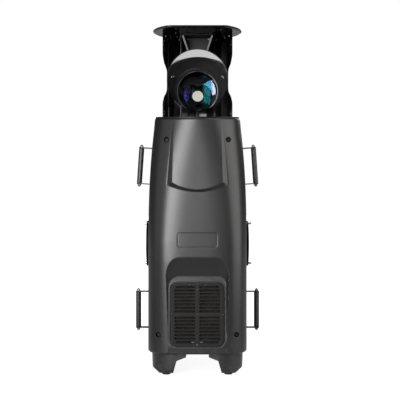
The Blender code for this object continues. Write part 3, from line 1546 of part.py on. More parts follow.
def blade_ring(radius, pitch, chord, middle):
    """The section of a fan blade at one radius, standing across the X axis."""
    along = Vector((0.0, math.cos(pitch), math.sin(pitch))) * chord / 2
    across = Vector((0.0, -math.sin(pitch), math.cos(pitch))) * BLADE_THICKNESS / 2
    centre = Vector((radius, 0.0, middle))
    return [centre + along, centre + across, centre - along, centre - across]


def add_power_supply():
    """A sheet case, open below, where it stands on the base plate."""
    low = BASE_TOP_Z + GAP
    high = low + SUPPLY_HEIGHT
    edge = SUPPLY_CHAMFER
    rings = []
    for inset, z in ((0.0, low), (0.0, high - edge), (edge, high)):
        half = SUPPLY_HALF_WIDTH - inset
        front, rear = SUPPLY_FRONT_Y + inset, SUPPLY_REAR_Y - inset
        rings.append([(-half, front, z), (half, front, z), (half, rear, z), (-half, rear, z)])
    supply = add_object("power_supply", loft(rings), "galvanised")
    half = SUPPLY_HALF_WIDTH - SUPPLY_WALL
    front, rear = SUPPLY_FRONT_Y + SUPPLY_WALL, SUPPLY_REAR_Y - SUPPLY_WALL
    inside = box((-half, front, low - CUTTER_REACH), (half, rear, high - SUPPLY_WALL))
    cut(supply, helper("supply_inside", inside))


def add_control_panel():
    """The connector panel behind its opening, and what sits in it: the panel's own +Y faces out."""
    panel_frame = empty("panel_frame", (0.0, PANEL_FACE_Y, PANEL_Z))
    width = PANEL_OPENING_WIDTH + 2 * PANEL_MARGIN
    height = PANEL_OPENING_HEIGHT + 2 * PANEL_MARGIN
    outline = rounded_rectangle(width, height, PANEL_OPENING_CORNER, 2)
    plate = add_object(
        "control_panel",
        prism(outline, -PANEL_THICKNESS, 0.0, "Y"),
        "black_paint",
        parent=panel_frame,
    )
    through = 3 * PANEL_THICKNESS

    def window(width, height, x, z, clear=0.0, depth=through):
        shape = rounded_rectangle(width + 2 * clear, height + 2 * clear, WINDOW_CORNER, 1, (x, z))
        return prism(shape, -depth, through, "Y")

    holes = [
        window(INLET_WIDTH, INLET_HEIGHT, INLET_X, CONNECTOR_Z, GAP),
        window(SWITCH_WIDTH, SWITCH_HEIGHT, SWITCH_X, CONNECTOR_Z, SWITCH_CLEARANCE),
        window(DISPLAY_WIDTH, DISPLAY_HEIGHT, DISPLAY_X, BUTTON_Z, depth=DISPLAY_DEPTH),
    ]
    radius = DATA_RADIUS + GAP
    for x in (DATA_IN_X, DATA_OUT_X):
        holes.append(cylinder(radius, -through, through, SMALL_SIDES, "Y", (x, CONNECTOR_Z)))
    for number in range(BUTTONS):
        x = BUTTON_FIRST_X + number * BUTTON_PITCH
        holes.append(window(BUTTON_WIDTH, BUTTON_HEIGHT, x, BUTTON_Z, GAP))
    cut(plate, helper("panel_holes", merged(*holes), parent=panel_frame))
    add_power_inlet(panel_frame)
    for name, x in (("data_in", DATA_IN_X), ("data_out", DATA_OUT_X)):
        profile = [
            (0.0, -DATA_DEPTH),
            (DATA_RADIUS, -DATA_DEPTH),
            (DATA_RADIUS, GAP),
            (DATA_FLANGE, GAP),
            (DATA_FLANGE, GAP + OVERLAP),
            (DATA_FLANGE - OVERLAP, GAP + 2 * OVERLAP),
            (DATA_BORE_RADIUS, GAP + 2 * OVERLAP),
            (DATA_BORE_RADIUS, -DATA_DEPTH / 2),
            (0.0, -DATA_DEPTH / 2),
        ]
        add_object(
            name,
            turned(profile, SMALL_SIDES),
            "black_plastic",
            (x, 0.0, CONNECTOR_Z),
            (-math.pi / 2, 0.0, 0.0),
            panel_frame,
        )
    for number in range(BUTTONS):
        x = BUTTON_FIRST_X + number * BUTTON_PITCH
        cap = rounded_rectangle(BUTTON_WIDTH, BUTTON_HEIGHT, OVERLAP, 1)
        lip = rounded_rectangle(
            BUTTON_WIDTH + 3 * BUTTON_FLANGE, BUTTON_HEIGHT + 3 * BUTTON_FLANGE, OVERLAP, 1
        )
        back = -PANEL_THICKNESS - GAP
        rings = [(lip, back - BUTTON_FLANGE), (lip, back), (cap, back), (cap, BUTTON_RISE)]
        rings = [[(a, level, b) for a, b in line] for line, level in rings]
        add_object(
            f"menu_button_{number + 1}",
            loft(rings),
            "button_grey",
            (x, 0.0, BUTTON_Z),
            parent=panel_frame,
        )
    add_power_switch(panel_frame)


def add_power_inlet(panel_frame):
    place = (INLET_X, 0.0, CONNECTOR_Z)
    body = rounded_rectangle(INLET_WIDTH, INLET_HEIGHT, WINDOW_CORNER, 1)
    body = prism(body, -INLET_DEPTH, GAP + OVERLAP, "Y")
    inlet = add_object("power_inlet", body, "black_plastic", place, parent=panel_frame)
    edge = INLET_FLANGE
    flange = rounded_rectangle(INLET_WIDTH + 4 * edge, INLET_HEIGHT + 2 * edge, edge, 2)
    join(inlet, helper("inlet_flange", prism(flange, GAP, GAP + edge, "Y"), parent=inlet))
    socket = rounded_rectangle(SOCKET_WIDTH, SOCKET_HEIGHT, edge, 2)
    socket = prism(socket, -SOCKET_DEPTH, CUTTER_REACH, "Y")
    cut(inlet, helper("inlet_socket", socket, parent=inlet))


def add_power_switch(panel_frame):
    """A rocker on a pin across X, resting with its upper half pushed in."""
    half = SWITCH_HEIGHT / 2
    reach = PANEL_THICKNESS
    outline = [
        (reach, half),
        (reach - SWITCH_HOLLOW, 0.0),
        (reach, -half),
        (-reach, -half),
        (-2 * reach, 0.0),
        (-reach, half),
    ]
    width = SWITCH_WIDTH / 2
    add_object(
        "power_switch",
        prism(outline, -width, width, "X"),
        "black_plastic",
        (SWITCH_X, -PANEL_THICKNESS / 2, CONNECTOR_Z),
        (SWITCH_REST, 0.0, 0.0),
        panel_frame,
    )


def main():
    clear_scene()
    lens_frame = empty("lens_axis", (0.0, LENS_Y, 0.0))
    add_chassis()
    add_front_cover()
    add_rear_cover()
    add_grille()
    add_nose_plate(lens_frame)
    add_optics_plate(lens_frame)
    add_feet()
    add_handles()
    add_yoke_discs()
    add_head_disc(lens_frame)
    add_trough(lens_frame)
    add_pan_bracket(lens_frame)
    add_pan_drive(lens_frame)
    arm = add_pan_arm(lens_frame)
    add_mirror(arm)
    add_objective(lens_frame)
    add_focus(lens_frame)
    add_wheel("colour", 1, COLOUR_WHEEL_Z, lens_frame, "aluminium")
    add_wheel("gobo", -1, GOBO_WHEEL_Z, lens_frame, "motor_steel")
    sink_low = add_led_engine(lens_frame)
    add_fan(lens_frame, sink_low)
    add_power_supply()
    add_control_panel()


main()
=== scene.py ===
"""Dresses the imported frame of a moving-mirror LED scanner light, and sets it on a plain pale stage."""

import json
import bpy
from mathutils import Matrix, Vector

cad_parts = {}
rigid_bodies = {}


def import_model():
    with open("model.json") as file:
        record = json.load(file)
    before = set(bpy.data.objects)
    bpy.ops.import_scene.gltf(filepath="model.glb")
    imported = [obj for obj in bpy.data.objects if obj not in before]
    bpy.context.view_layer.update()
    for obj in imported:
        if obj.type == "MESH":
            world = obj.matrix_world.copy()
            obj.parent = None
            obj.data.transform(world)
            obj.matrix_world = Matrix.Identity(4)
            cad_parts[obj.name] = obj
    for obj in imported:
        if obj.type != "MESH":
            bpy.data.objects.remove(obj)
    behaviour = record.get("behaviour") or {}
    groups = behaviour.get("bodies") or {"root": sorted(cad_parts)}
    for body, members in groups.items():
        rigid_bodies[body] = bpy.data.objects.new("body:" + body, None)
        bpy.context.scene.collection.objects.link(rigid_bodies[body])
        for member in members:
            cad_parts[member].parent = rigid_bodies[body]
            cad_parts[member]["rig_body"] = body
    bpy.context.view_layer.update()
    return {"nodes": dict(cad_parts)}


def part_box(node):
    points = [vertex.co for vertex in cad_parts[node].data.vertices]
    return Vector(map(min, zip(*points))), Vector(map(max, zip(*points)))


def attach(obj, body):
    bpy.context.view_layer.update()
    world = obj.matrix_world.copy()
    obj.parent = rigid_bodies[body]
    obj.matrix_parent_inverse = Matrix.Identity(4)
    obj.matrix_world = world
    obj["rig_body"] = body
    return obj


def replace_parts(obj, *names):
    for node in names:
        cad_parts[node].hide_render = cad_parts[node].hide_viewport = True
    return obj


bl_info = {
    "name": "LED scanner light",
    "version": (1, 0, 0),
    "blender": (4, 5, 0),
    "location": "View3D > Sidebar > Scanner",
    "description": "Builds the covers, head, fittings, finishes and stage of a scanner light",
    "category": "Add Mesh",
}

import bmesh
import bpy
import numpy as np
from bpy.props import FloatProperty, FloatVectorProperty, IntProperty, PointerProperty
from bpy.types import Operator, Panel, PropertyGroup
from mathutils import Matrix, Vector

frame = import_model()


def node_box(node):
    """The lowest and the highest corner of a node's box."""
    low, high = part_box(node)
    return np.array(low), np.array(high)


def node_middle(node):
    return sum(node_box(node)) / 2


# Sizes of the body, in metres, which the covers' surfaces are worked out from
COVER_LOW, COVER_HIGH = node_box("front_cover")
HALF_WIDTH, HALF_DEPTH = COVER_HIGH[0], -COVER_LOW[1]
COVER_BOTTOM_Z, COVER_TOP_Z = COVER_LOW[2], COVER_HIGH[2]
TAPER_START_Z, TAPER_WIDTH, SIDE_POWER = 0.400, 0.0195, 2.5
FACE_START_Z, FACE_POWER = 0.340, 1.2
TAPER_FRONT, TAPER_REAR = 0.0205, 0.080
CORNER_POWERS, CORNER_DEPTHS = (5.0, 2.0), (0.090, 0.105)
COVER_WALL, PARTING = 0.003, 0.00015
SHOULDER, SHOULDER_BAND = 0.0085, 0.040

RAISED_TOP_Z, RAISED_BOTTOM_Z = COVER_TOP_Z - 0.009, COVER_TOP_Z - 0.215
RAISED_ARC, RAISED_HALF_WIDTH, RAISED_DRAW = 0.022, 0.0770, 0.0045
RAISED_STEPS, RAISED_SOFTNESS = (0.0125, 0.003), 0.16
RAISED_FOOT, RAISED_FOOT_GROWTH, RAISED_GROOVE = 0.0065, 0.0070, 0.04
GROOVE_MIDDLE, GROOVE_HALF = 1.16, 0.22

RUNOUT_Z, RECESS_TOP_Z, RECESS_DEPTH, RUNOUT_DEPTH = 0.078, 0.300, 0.020, 0.0014
RUNOUT_RISE, RUNOUT_BAND, RUNOUT_OVER, RUNOUT_EDGE = 0.0105, 0.016, 0.0015, 0.003
RECESS_HALF_WIDTH, RECESS_CORNER, SIDE_FLARE, TOP_FLARE = 0.087, 0.030, 0.5, 2.15
RECESS_SOFTNESS, RECESS_BRIM = 0.0016, 0.0018
RECESS_SLOPE = np.arctan2(RECESS_DEPTH, RECESS_TOP_Z - RUNOUT_Z)

GRILLE, GRILLE_LOW_Z, GRILLE_CLEARANCE = (0.163, 0.193, 0.021), 0.088, 0.0012
GRILLE_MIDDLE_Z = GRILLE_LOW_Z + GRILLE[1] / 2 * np.cos(RECESS_SLOPE)
GRILLE_MIDDLE_Y = -HALF_DEPTH + (GRILLE_MIDDLE_Z - RUNOUT_Z) * np.tan(RECESS_SLOPE)
SLOT_ROWS, SLOT_PITCH, SLOT_LENGTH, BAR_WIDTH, LAST_SLOT_LESS = 8, 0.0104, 0.062, 0.0125, 0.004
FIELD_MARGIN = 0.005

BADGE, BADGE_Z, BADGE_GAP, BADGE_SUNK = (0.119, 0.043, 0.008), 0.408, 0.0011, 0.00035
SCREWS, BORE_RADIUS, SCREW_SUNK = ((0.0935, COVER_TOP_Z - 0.063), (0.1175, 0.123)), 0.008, 0.0145
VENT, VENT_BAR = (0.078, 0.008, 0.0037), 0.016
VENT_ROWS, VENT_PITCH, VENT_LOW_Z = 6, 0.018, COVER_TOP_Z - 0.296
PANEL_OPENING, PANEL_Z = (0.170, 0.100, 0.008), 0.165
UNDER_LIP = 0.0012

FOOT_DROP = 0.0040
HANDLE_LEVELS, HANDLE_REACH = (0.179, COVER_TOP_Z - 0.136), 0.037
EAR_SPACING, EAR_THICKNESS, EAR_WIDTH = 0.1145, 0.0032, 0.022
SLOT_HALF = EAR_THICKNESS / 2 + 0.001

LENS, LENS_RADIUS = node_middle("objective_lens"), 0.0642
ON_AXIS = (0.0, LENS[1], 0.0)
TILT_AXIS = np.array([0.0, LENS[1], COVER_TOP_Z + 0.145])
MIRROR_REACH, MIRROR_FACE, MIRROR_GLASS = (0.0945, 0.119), -0.029, 0.004
TROUGH_RADIUS, TROUGH_ARC_Y, TROUGH_FRONT_Y, TROUGH_FACETS = 0.108, 0.025, 0.015, 12
TROUGH_WALL, RIB_HALF_WIDTH, RIB_DEPTH = 0.002, 0.0025, 0.0035
SCOOP = (COVER_TOP_Z + 0.044, COVER_TOP_Z + 0.230, 0.068, 0.057)
NOSE_HOLE, NOSE_SEAT, NOSE_BOLT_SHARE = 0.0683, 0.1105, 0.62

# Lamps: their place, their size and what they point at
COOL, WARM = (1.0, 0.985, 1.0), (1.0, 0.985, 0.965)
BODY_AIM, HEAD_AIM = (0.0, 0.0, 0.60), (0.0, -0.06, 0.78)
SOFTBOXES = {
    "key": (COOL, (1.30, 1.8), (-1.00, -2.53, 1.12), BODY_AIM),
    "front": (COOL, (0.6, 1.8), (0.80, -2.75, 1.10), BODY_AIM),
    "side": (COOL, (1.8, 2.2), (-2.30, -0.75, 1.12), BODY_AIM),
    "rear": (COOL, (2.0, 1.6), (0.90, 2.60, 2.00), BODY_AIM),
    "fill": (WARM, (2.3, 2.2), (2.20, -0.80, 1.12), BODY_AIM),
    "top": (COOL, (1.0, 1.0), (0.95, -0.62, 2.90), HEAD_AIM),
}
CAMERA_PLACE, CAMERA_LENS = (0.0078, -3.0575, 0.528), 86.04


def length_property(name, description, default, least, most):
    return FloatProperty(
        name=name, description=description, default=default, min=least, max=most, unit="LENGTH")


def power_property(name, description, default):
    return FloatProperty(name=name, description=description, default=default, min=0.0, unit="POWER")


def colour_property(name, description, default):
    return FloatVectorProperty(
        name=name, description=description, default=default, subtype="COLOR", size=3, min=0.0, max=1.0)


class ScannerSizes(PropertyGroup):
    """Sizes of the trim, in the scene's units."""

    raised_height: length_property(
        "Raised panel", "How far the raised panel stands out at its foot", 0.009, 0.0, 0.009)
    badge_depth: length_property("Badge recess", "Depth of the bare badge recess", 0.0014, 0.0, 0.003)
    slot_height: length_property(
        "Grille slot", "Height of one slot of the intake grille", 0.0064, 0.003, 0.008)
    round_steps: IntProperty(
        name="Round steps", description="Sides of the large turned pieces",
        default=160, min=24, max=256)


class ScannerColours(PropertyGroup):
    """Colours of the finishes."""

    cover: colour_property(
        "Cover", "Satin charcoal of the moulded covers and the feet", (0.0068, 0.0066, 0.0068))
    gloss: colour_property(
        "Gloss black", "Black of the head disc, the trough and the plates", (0.0016, 0.0016, 0.0017))
    bracket: colour_property(
        "Powder coat", "Dark grey of the brackets and the grille", (0.0062, 0.0062, 0.0066))
    # The glow of the light source is painted: it stands in for light falling on the LED window
    source: colour_property("Light source", "Colour of the glowing LED aperture", (1.0, 0.965, 0.83))
    coating: colour_property(
        "Lens coating", "Colour that the coated lens throws back", (0.16, 0.42, 0.80))


class ScannerStage(PropertyGroup):
    """Light and floor."""

    key: power_property("Key", "Power of the softbox in front, on the left", 108.0)
    front: power_property("Front", "Power of the weak softbox in front, on the right", 3.4)
    side: power_property("Side", "Power of the softbox on the left", 9.0)
    rear: power_property("Rear", "Power of the softbox behind the scanner", 45.0)
    fill: power_property("Fill", "Power of the softbox on the right", 46.0)
    top: power_property("Top", "Power of the lamp overhead", 18.0)
    floor: colour_property("Floor", "Colour of the floor", (0.82, 0.82, 0.82))


def sizes():
    return bpy.context.scene.scanner_sizes


def colours():
    return bpy.context.scene.scanner_colours


# Materials


class Value:
    """An output of a node. Arithmetic on it adds Math nodes."""

    def __init__(self, nodes, socket):
        self.nodes, self.socket = nodes, socket

    def math(self, operation, *numbers):
        return self.nodes.node("ShaderNodeMath", {"operation": operation}, dict(enumerate(numbers)))

    def __add__(self, other):
        return self.math("ADD", self, other)

    def __sub__(self, other):
        return self.math("SUBTRACT", self, other)

    def __rsub__(self, other):
        return self.math("SUBTRACT", other, self)

    def __mul__(self, other):
        return self.math("MULTIPLY", self, other)

    def __truediv__(self, other):
        return self.math("DIVIDE", self, other)

    def __rtruediv__(self, other):
        return self.math("DIVIDE", other, self)

    __radd__, __rmul__ = __add__, __mul__

    def band(self, low, high):
        """0 below low and 1 above high, with a soft passage between them."""
        inputs = {"Value": self, "From Min": low, "From Max": high}
        return self.nodes.node("ShaderNodeMapRange", {"interpolation_type": "SMOOTHSTEP"}, inputs)

    def part(self, name):
        """One of the three parts of a vector: x, y or z."""
        return self.nodes.node("ShaderNodeSeparateXYZ", {}, {0: self}, "xyz".index(name))


class Nodes:
    """The nodes of a material, or of the world."""

    def __init__(self, tree):
        self.tree = tree
        tree.nodes.clear()

    def node(self, kind, settings, inputs, output=0):
        """One node: its settings first, then a value or a link for each socket named."""
        made = self.tree.nodes.new(kind)
        for key, value in settings.items():
            setattr(made, key, value)
        for key, value in inputs.items():
            if isinstance(value, Value):
                self.tree.links.new(value.socket, made.inputs[key])
            else:
                made.inputs[key].default_value = value
        return Value(self, made.outputs[output])

    def ray(self, kind):
        """1 for a camera, glossy or transmission ray, and 0 for any other."""
        return self.node("ShaderNodeLightPath", {}, {}, f"Is {kind} Ray")

    def end(self, shader, kind="Material"):
        output = self.tree.nodes.new(f"ShaderNodeOutput{kind}")
        self.tree.links.new(shader.socket, output.inputs["Surface"])


class Finish(Nodes):
    """One node material of the light."""

    def __init__(self, name):
        self.material = bpy.data.materials.new(name)
        self.material.use_nodes = True
        super().__init__(self.material.node_tree)
        self.place = self.node("ShaderNodeTexCoord", {}, {}, "Object")

    def stretched(self, scale):
        """The object's own coordinates, stretched."""
        return self.node("ShaderNodeMapping", {}, {"Vector": self.place, "Scale": scale})

    def noise(self, scale, detail=2.0, rough=0.5, place=None):
        inputs = {"Vector": place or self.place, "Scale": scale, "Detail": detail, "Roughness": rough}
        return self.node("ShaderNodeTexNoise", {}, inputs)

    def cells(self, scale, feature="F1", output="Distance"):
        inputs = {"Vector": self.place, "Scale": scale}
        return self.node("ShaderNodeTexVoronoi", {"feature": feature}, inputs, output)

    def mix(self, share, first, second):
        """A colour between two, by a share from 0 to 1."""
        first = first if isinstance(first, Value) else (*first, 1.0)
        second = second if isinstance(second, Value) else (*second, 1.0)
        return self.node("ShaderNodeMix", {"data_type": "RGBA"}, {0: share, 6: first, 7: second}, 2)

    def clouded(self, cloud, base, low, high):
        """The base colour between two shades of itself, in soft clouds."""
        return self.mix(cloud.band(0.3, 0.7), shade(base, low), shade(base, high))

    def cover(self, colour, rough, bump=None, **others):
        """Ends the material in a Principled shader. A bump is its height, depth and strength."""
        if bump:
            inputs = dict(zip(("Height", "Distance", "Strength"), bump))
            others["Normal"] = self.node("ShaderNodeBump", {}, inputs)
        inputs = {"Base Color": colour, "Roughness": rough, **others}
        self.end(self.node("ShaderNodeBsdfPrincipled", {}, inputs))

    def sheen_glass(self, colour, rough, strength, most):
        """Ends the material in clear glass under a coloured sheen that grows at a slant."""
        slant = self.node("ShaderNodeFresnel", {}, {"IOR": 1.5}) * strength
        gloss = self.node("ShaderNodeBsdfPrincipled", {}, {
            "Base Color": colour, "Metallic": 1.0, "Roughness": rough})
        clear = self.node("ShaderNodeBsdfTransparent", {}, {"Color": (0.95, 0.96, 0.96, 1.0)})
        share = slant.math("MINIMUM", slant, most)
        self.end(self.node("ShaderNodeMixShader", {}, {0: share, 1: clear, 2: gloss}))


FINISHES = {}


def finish(name):
    """The finished material of this name, made on first use."""
    if name not in FINISHES:
        made = Finish(name)
        FINISH_MAKERS[name](made)
        FINISHES[name] = made.material
    return FINISHES[name]


def shade(colour, factor):
    """A colour times a factor, no channel over 1."""
    return tuple(min(1.0, channel * factor) for channel in colour)


def moulded_charcoal(f):
    """Satin charcoal on a fine moulded grain, with faint handling marks and dust low down."""
    base = colours().cover
    grain = f.noise(1500.0, 2.0, 0.6)
    wipe = f.noise(1.0, 5.0, 0.6, f.stretched((70.0, 70.0, 9.0)))
    dust = (1.0 - f.place.part("z").band(0.06, 0.16)) * f.noise(60.0, 4.0, 0.7).band(0.45, 0.75)
    colour = f.clouded(f.noise(9.0, 4.0, 0.55), base, 0.90, 1.10)
    colour = f.mix(grain.band(0.35, 0.65) * 0.5, colour, shade(base, 1.25))
    colour = f.mix(dust * 0.12, colour, (0.10, 0.095, 0.09))
    height = grain * 0.6 + f.cells(900.0) * 0.4
    f.cover(colour, 0.300 + wipe * 0.07 + grain * 0.04, (height, 0.00006, 0.55), IOR=1.52)


def gloss_black(f):
    """Gloss black stove enamel: a faint orange peel, fine dust and a few wiped streaks."""
    base = colours().gloss
    specks = f.noise(2200.0, 1.0, 0.5).band(0.66, 0.72)
    streak = f.noise(1.0, 4.0, 0.6, f.stretched((160.0, 160.0, 7.0)))
    colour = f.mix(specks * 0.35, base, (0.09, 0.09, 0.09))
    colour = f.mix(streak.band(0.5, 0.8) * 0.5, colour, shade(base, 1.9))
    peel = (f.noise(260.0, 2.0, 0.4), 0.0002, 0.12)
    f.cover(colour, 0.10 + streak * 0.07 + specks * 0.2, peel, IOR=1.34)


def zinc_sheet(f):
    """Galvanised sheet: flat crystals of slightly different brightness, with dull joints."""
    tone = f.cells(95.0, output="Color").part("x")
    grain = f.noise(500.0, 3.0, 0.6)
    colour = f.mix(tone, (0.42, 0.43, 0.45), (0.62, 0.63, 0.64))
    colour = f.mix(grain.band(0.55, 0.8) * 0.3, colour, (0.30, 0.30, 0.31))
    f.cover(colour, 0.34 + tone * 0.2, (grain + tone, 0.00003, 0.5), Metallic=0.95)


def grip_rubber(f):
    """Hard black grip tube with close turned rings and a slight shine."""
    turns = f.place.part("z") * 2600.0
    grain = f.noise(900.0, 3.0, 0.6)
    colour = f.mix(grain.band(0.4, 0.7), (0.010, 0.010, 0.010), (0.020, 0.020, 0.020))
    rings = turns.math("SINE", turns) * 0.5 + grain * 0.5
    f.cover(colour, 0.30 + grain * 0.14, (rings, 0.00008, 0.4), IOR=1.5)


def front_silvered(f):
    """Front-silvered glass with the least trace of dust."""
    dust = f.noise(900.0, 2.0, 0.6).band(0.62, 0.75)
    colour = f.mix(dust * 0.08, (0.93, 0.93, 0.935), (0.70, 0.70, 0.70))
    f.cover(colour, 0.004 + f.noise(14.0, 4.0, 0.6) * 0.006, Metallic=1.0)


def coated_glass(f):
    """Coated lens glass with painted reflections: its sheen colour is laid out by place, from a violet
    left rim over dark, teal and blue to a pale painted highlight at the right rim.
    """
    tint = colours().coating
    film = f.noise(26.0, 3.0, 0.5) * 0.16 - 0.08
    across = f.place.part("x") / LENS_RADIUS + film
    up = (LENS[1] - f.place.part("y")) / LENS_RADIUS + film
    # Painted reflections: dark over the left half with a violet rim, teal and the coating's blue to the
    # right, and a pale painted highlight along the right rim
    violet, deep, pale = (0.010, 0.014, 0.090), (0.0012, 0.0014, 0.003), (0.86, 0.90, 0.94)
    teal = (tint[0] * 0.1, tint[1] * 1.6, tint[2] * 0.94)
    colour = f.mix(across.band(-0.60, -0.46), violet, deep)
    colour = f.mix(across.band(0.16, 0.30), colour, teal)
    colour = f.mix(across.band(0.50, 0.70), colour, tint)
    # Painted shade: a dimmer blue toward -y, right of the middle
    colour = f.mix(up.band(0.25, 0.55) * across.band(0.05, 0.40), colour, shade(tint, 0.70))
    colour = f.mix(across.band(0.66, 0.82), colour, pale)
    f.sheen_glass(colour, 0.02 + film * 0.02, 3.8, 0.9)


def inner_glass(f):
    """An inner element with a weak violet-blue sheen."""
    film = f.noise(20.0, 3.0, 0.5)
    colour = f.mix(film.band(0.35, 0.65), (0.02, 0.03, 0.12), (0.02, 0.05, 0.14))
    f.sheen_glass(colour, 0.05 + film * 0.02, 0.4, 0.5)


def filter_mat(f):
    """Brown filter foam: open cells whose middles are painted near black as shade in the pores."""
    pits, web = f.cells(420.0), f.cells(420.0, "DISTANCE_TO_EDGE")
    # Painted shade: brown at the cells' edges, near black in their middles
    colour = f.mix(web.band(0.02, 0.16), (0.024, 0.021, 0.016), (0.0025, 0.0022, 0.002))
    cloud = f.noise(40.0, 4.0, 0.6).band(0.4, 0.75)
    colour = f.mix(cloud * 0.4, colour, (0.032, 0.027, 0.020))
    f.cover(colour, 0.85 + pits * 0.1, (pits, 0.0012, 0.9), IOR=1.15)


def glowing_source(f):
    """The diffusing window over the LED array: cream, with a soft mottle, and a painted glow at about
    white strength that stands in for light falling on it.
    """
    grain = f.noise(90.0, 2.0, 0.5)
    # Painted glow: the window shines by itself, standing in for light falling on it
    glow = f.clouded(grain, colours().source, 0.95, 1.0)
    f.cover((0.9, 0.86, 0.72, 1.0), 0.4 + grain * 0.1,
            **{"Emission Color": glow, "Emission Strength": 1.02})


def display_glass(f):
    """Smoked window of the menu display, with a fine film."""
    film = f.noise(60.0, 4.0, 0.6)
    colour = f.mix(film.band(0.3, 0.7), (0.004, 0.006, 0.005), (0.010, 0.014, 0.012))
    f.cover(colour, 0.05 + film * 0.06, IOR=1.5)


def pale_floor(f):
    """Matt floor that keeps the object's shadow, and shows the pale background all round it."""
    seen, glossy = f.ray("Camera") + f.ray("Transmission"), f.ray("Glossy")
    colour = f.clouded(f.noise(30.0, 3.0, 0.6), bpy.context.scene.scanner_stage.floor, 0.985, 1.0)
    matt = f.node("ShaderNodeBsdfPrincipled", {}, {"Base Color": colour, "Roughness": 0.8})
    reach = f.node("ShaderNodeVectorMath", {"operation": "LENGTH"}, {0: f.place}, "Value")
    far = reach.band(0.40, 0.75)
    mirrored = (0.56 - far * 0.52) + f.place.part("y").band(0.0, 0.8) * 0.38 * far
    glow = f.node("ShaderNodeEmission", {}, {
        "Color": (1.0, 1.0, 1.0, 1.0), "Strength": seen * 1.3 + glossy * mirrored})
    share = seen * (0.68 + reach.band(0.45, 1.3) * 0.32) + glossy * 0.85
    f.end(f.node("ShaderNodeMixShader", {}, {0: share, 1: matt, 2: glow}))


def metal(base, rough, stretch=(300.0, 300.0, 300.0), spread=0.16):
    """A maker for bare metal drawn along one way: fine lines, smears and small rubbed spots."""

    def made(f):
        lines = f.noise(1.0, 3.0, 0.7, f.stretched(stretch))
        smear = f.noise(40.0, 4.0, 0.6)
        colour = f.clouded(lines, base, 0.78, 1.12)
        colour = f.mix(smear.band(0.45, 0.75) * 0.4, colour, shade(base, 0.6))
        f.cover(colour, rough + smear * spread, (lines, 0.00004, 0.5), Metallic=1.0)

    return made


def coat(base, tones, cloud_scale, grain, rough, relief, ior, pebbles=None, worn_by="cloud"):
    """A maker for paint: two shades of the base in soft clouds, over a fine grain.

    The base is a colour, or the name of a user's colour with a factor. The roughness is the
    first number of rough, plus the second times the clouds or the grain.
    """

    def made(f):
        colour = shade(getattr(colours(), base[0]), base[1]) if isinstance(base[0], str) else base
        cloud, skin = f.noise(cloud_scale, 4.0, 0.6), f.noise(*grain, 0.6)
        height = f.cells(pebbles) * 0.6 + skin * 0.4 if pebbles else skin
        wear = cloud if worn_by == "cloud" else skin
        f.cover(f.clouded(cloud, colour, *tones), rough[0] + wear * rough[1], (height, *relief), IOR=ior)

    return made


def plastic(base, rough, grain_scale=1200.0, depth=0.00006):
    """A maker for moulded plastic or rubber: a fine grain with soft clouds of wear."""
    return coat(base, (0.8, 1.3), 30.0, (grain_scale, 3.0), (rough - 0.04, 0.12), (depth, 0.6), 1.5)


FINISH_MAKERS = {maker.__name__: maker for maker in (
    moulded_charcoal, gloss_black, zinc_sheet, grip_rubber, front_silvered, coated_glass, inner_glass,
    filter_mat, glowing_source, display_glass, pale_floor,
)}
FINISH_MAKERS |= {
    "plate_black": coat(
        ("gloss", 3.0), (0.8, 1.4), 24.0, (1300.0, 2.0), (0.34, 0.14), (0.00006, 0.5), 1.24),
    "powder_coat": coat(("bracket", 1.0), (0.8, 1.35), 18.0, (700.0, 3.0), (0.44, 0.14),
                        (0.00012, 0.6), 1.36, pebbles=1100.0, worn_by="grain"),
    "matt_enamel": coat(("bracket", 0.85), (0.85, 1.25), 16.0, (900.0, 3.0), (0.50, 0.12),
                        (0.00008, 0.5), 1.26, worn_by="grain"),
    "brushed_aluminium": metal((0.66, 0.67, 0.68), 0.24, (30.0, 900.0, 900.0)),
    "bare_edge": metal((0.62, 0.61, 0.60), 0.46, (700.0, 700.0, 40.0)),
    "dark_zinc": metal((0.080, 0.077, 0.072), 0.46),
    "dull_zinc": metal((0.20, 0.19, 0.175), 0.40),
    "dark_steel": metal((0.20, 0.20, 0.21), 0.26, (500.0, 500.0, 60.0)),
    "bright_steel": metal((0.60, 0.60, 0.61), 0.16, spread=0.12),
    "brass": metal((0.62, 0.47, 0.22), 0.26),
    "black_steel": metal((0.030, 0.030, 0.032), 0.36),
    "anodised_black": plastic((0.010, 0.010, 0.011), 0.46, 1600.0, 0.00003),
    "black_plastic": plastic((0.016, 0.016, 0.017), 0.36),
    "switch_plastic": plastic((0.020, 0.020, 0.021), 0.22, 1500.0, 0.00003),
    "pale_print": plastic((0.62, 0.62, 0.60), 0.5),
    "button_rubber": plastic((0.20, 0.205, 0.21), 0.52, 900.0),
    "ground_glass": plastic((0.020, 0.026, 0.024), 0.50, 900.0),
    "foot_rubber": plastic((0.012, 0.012, 0.012), 0.70, 600.0, 0.0002),
    "belt_rubber": plastic((0.014, 0.014, 0.014), 0.62, 800.0, 0.0001),
}


# Meshes


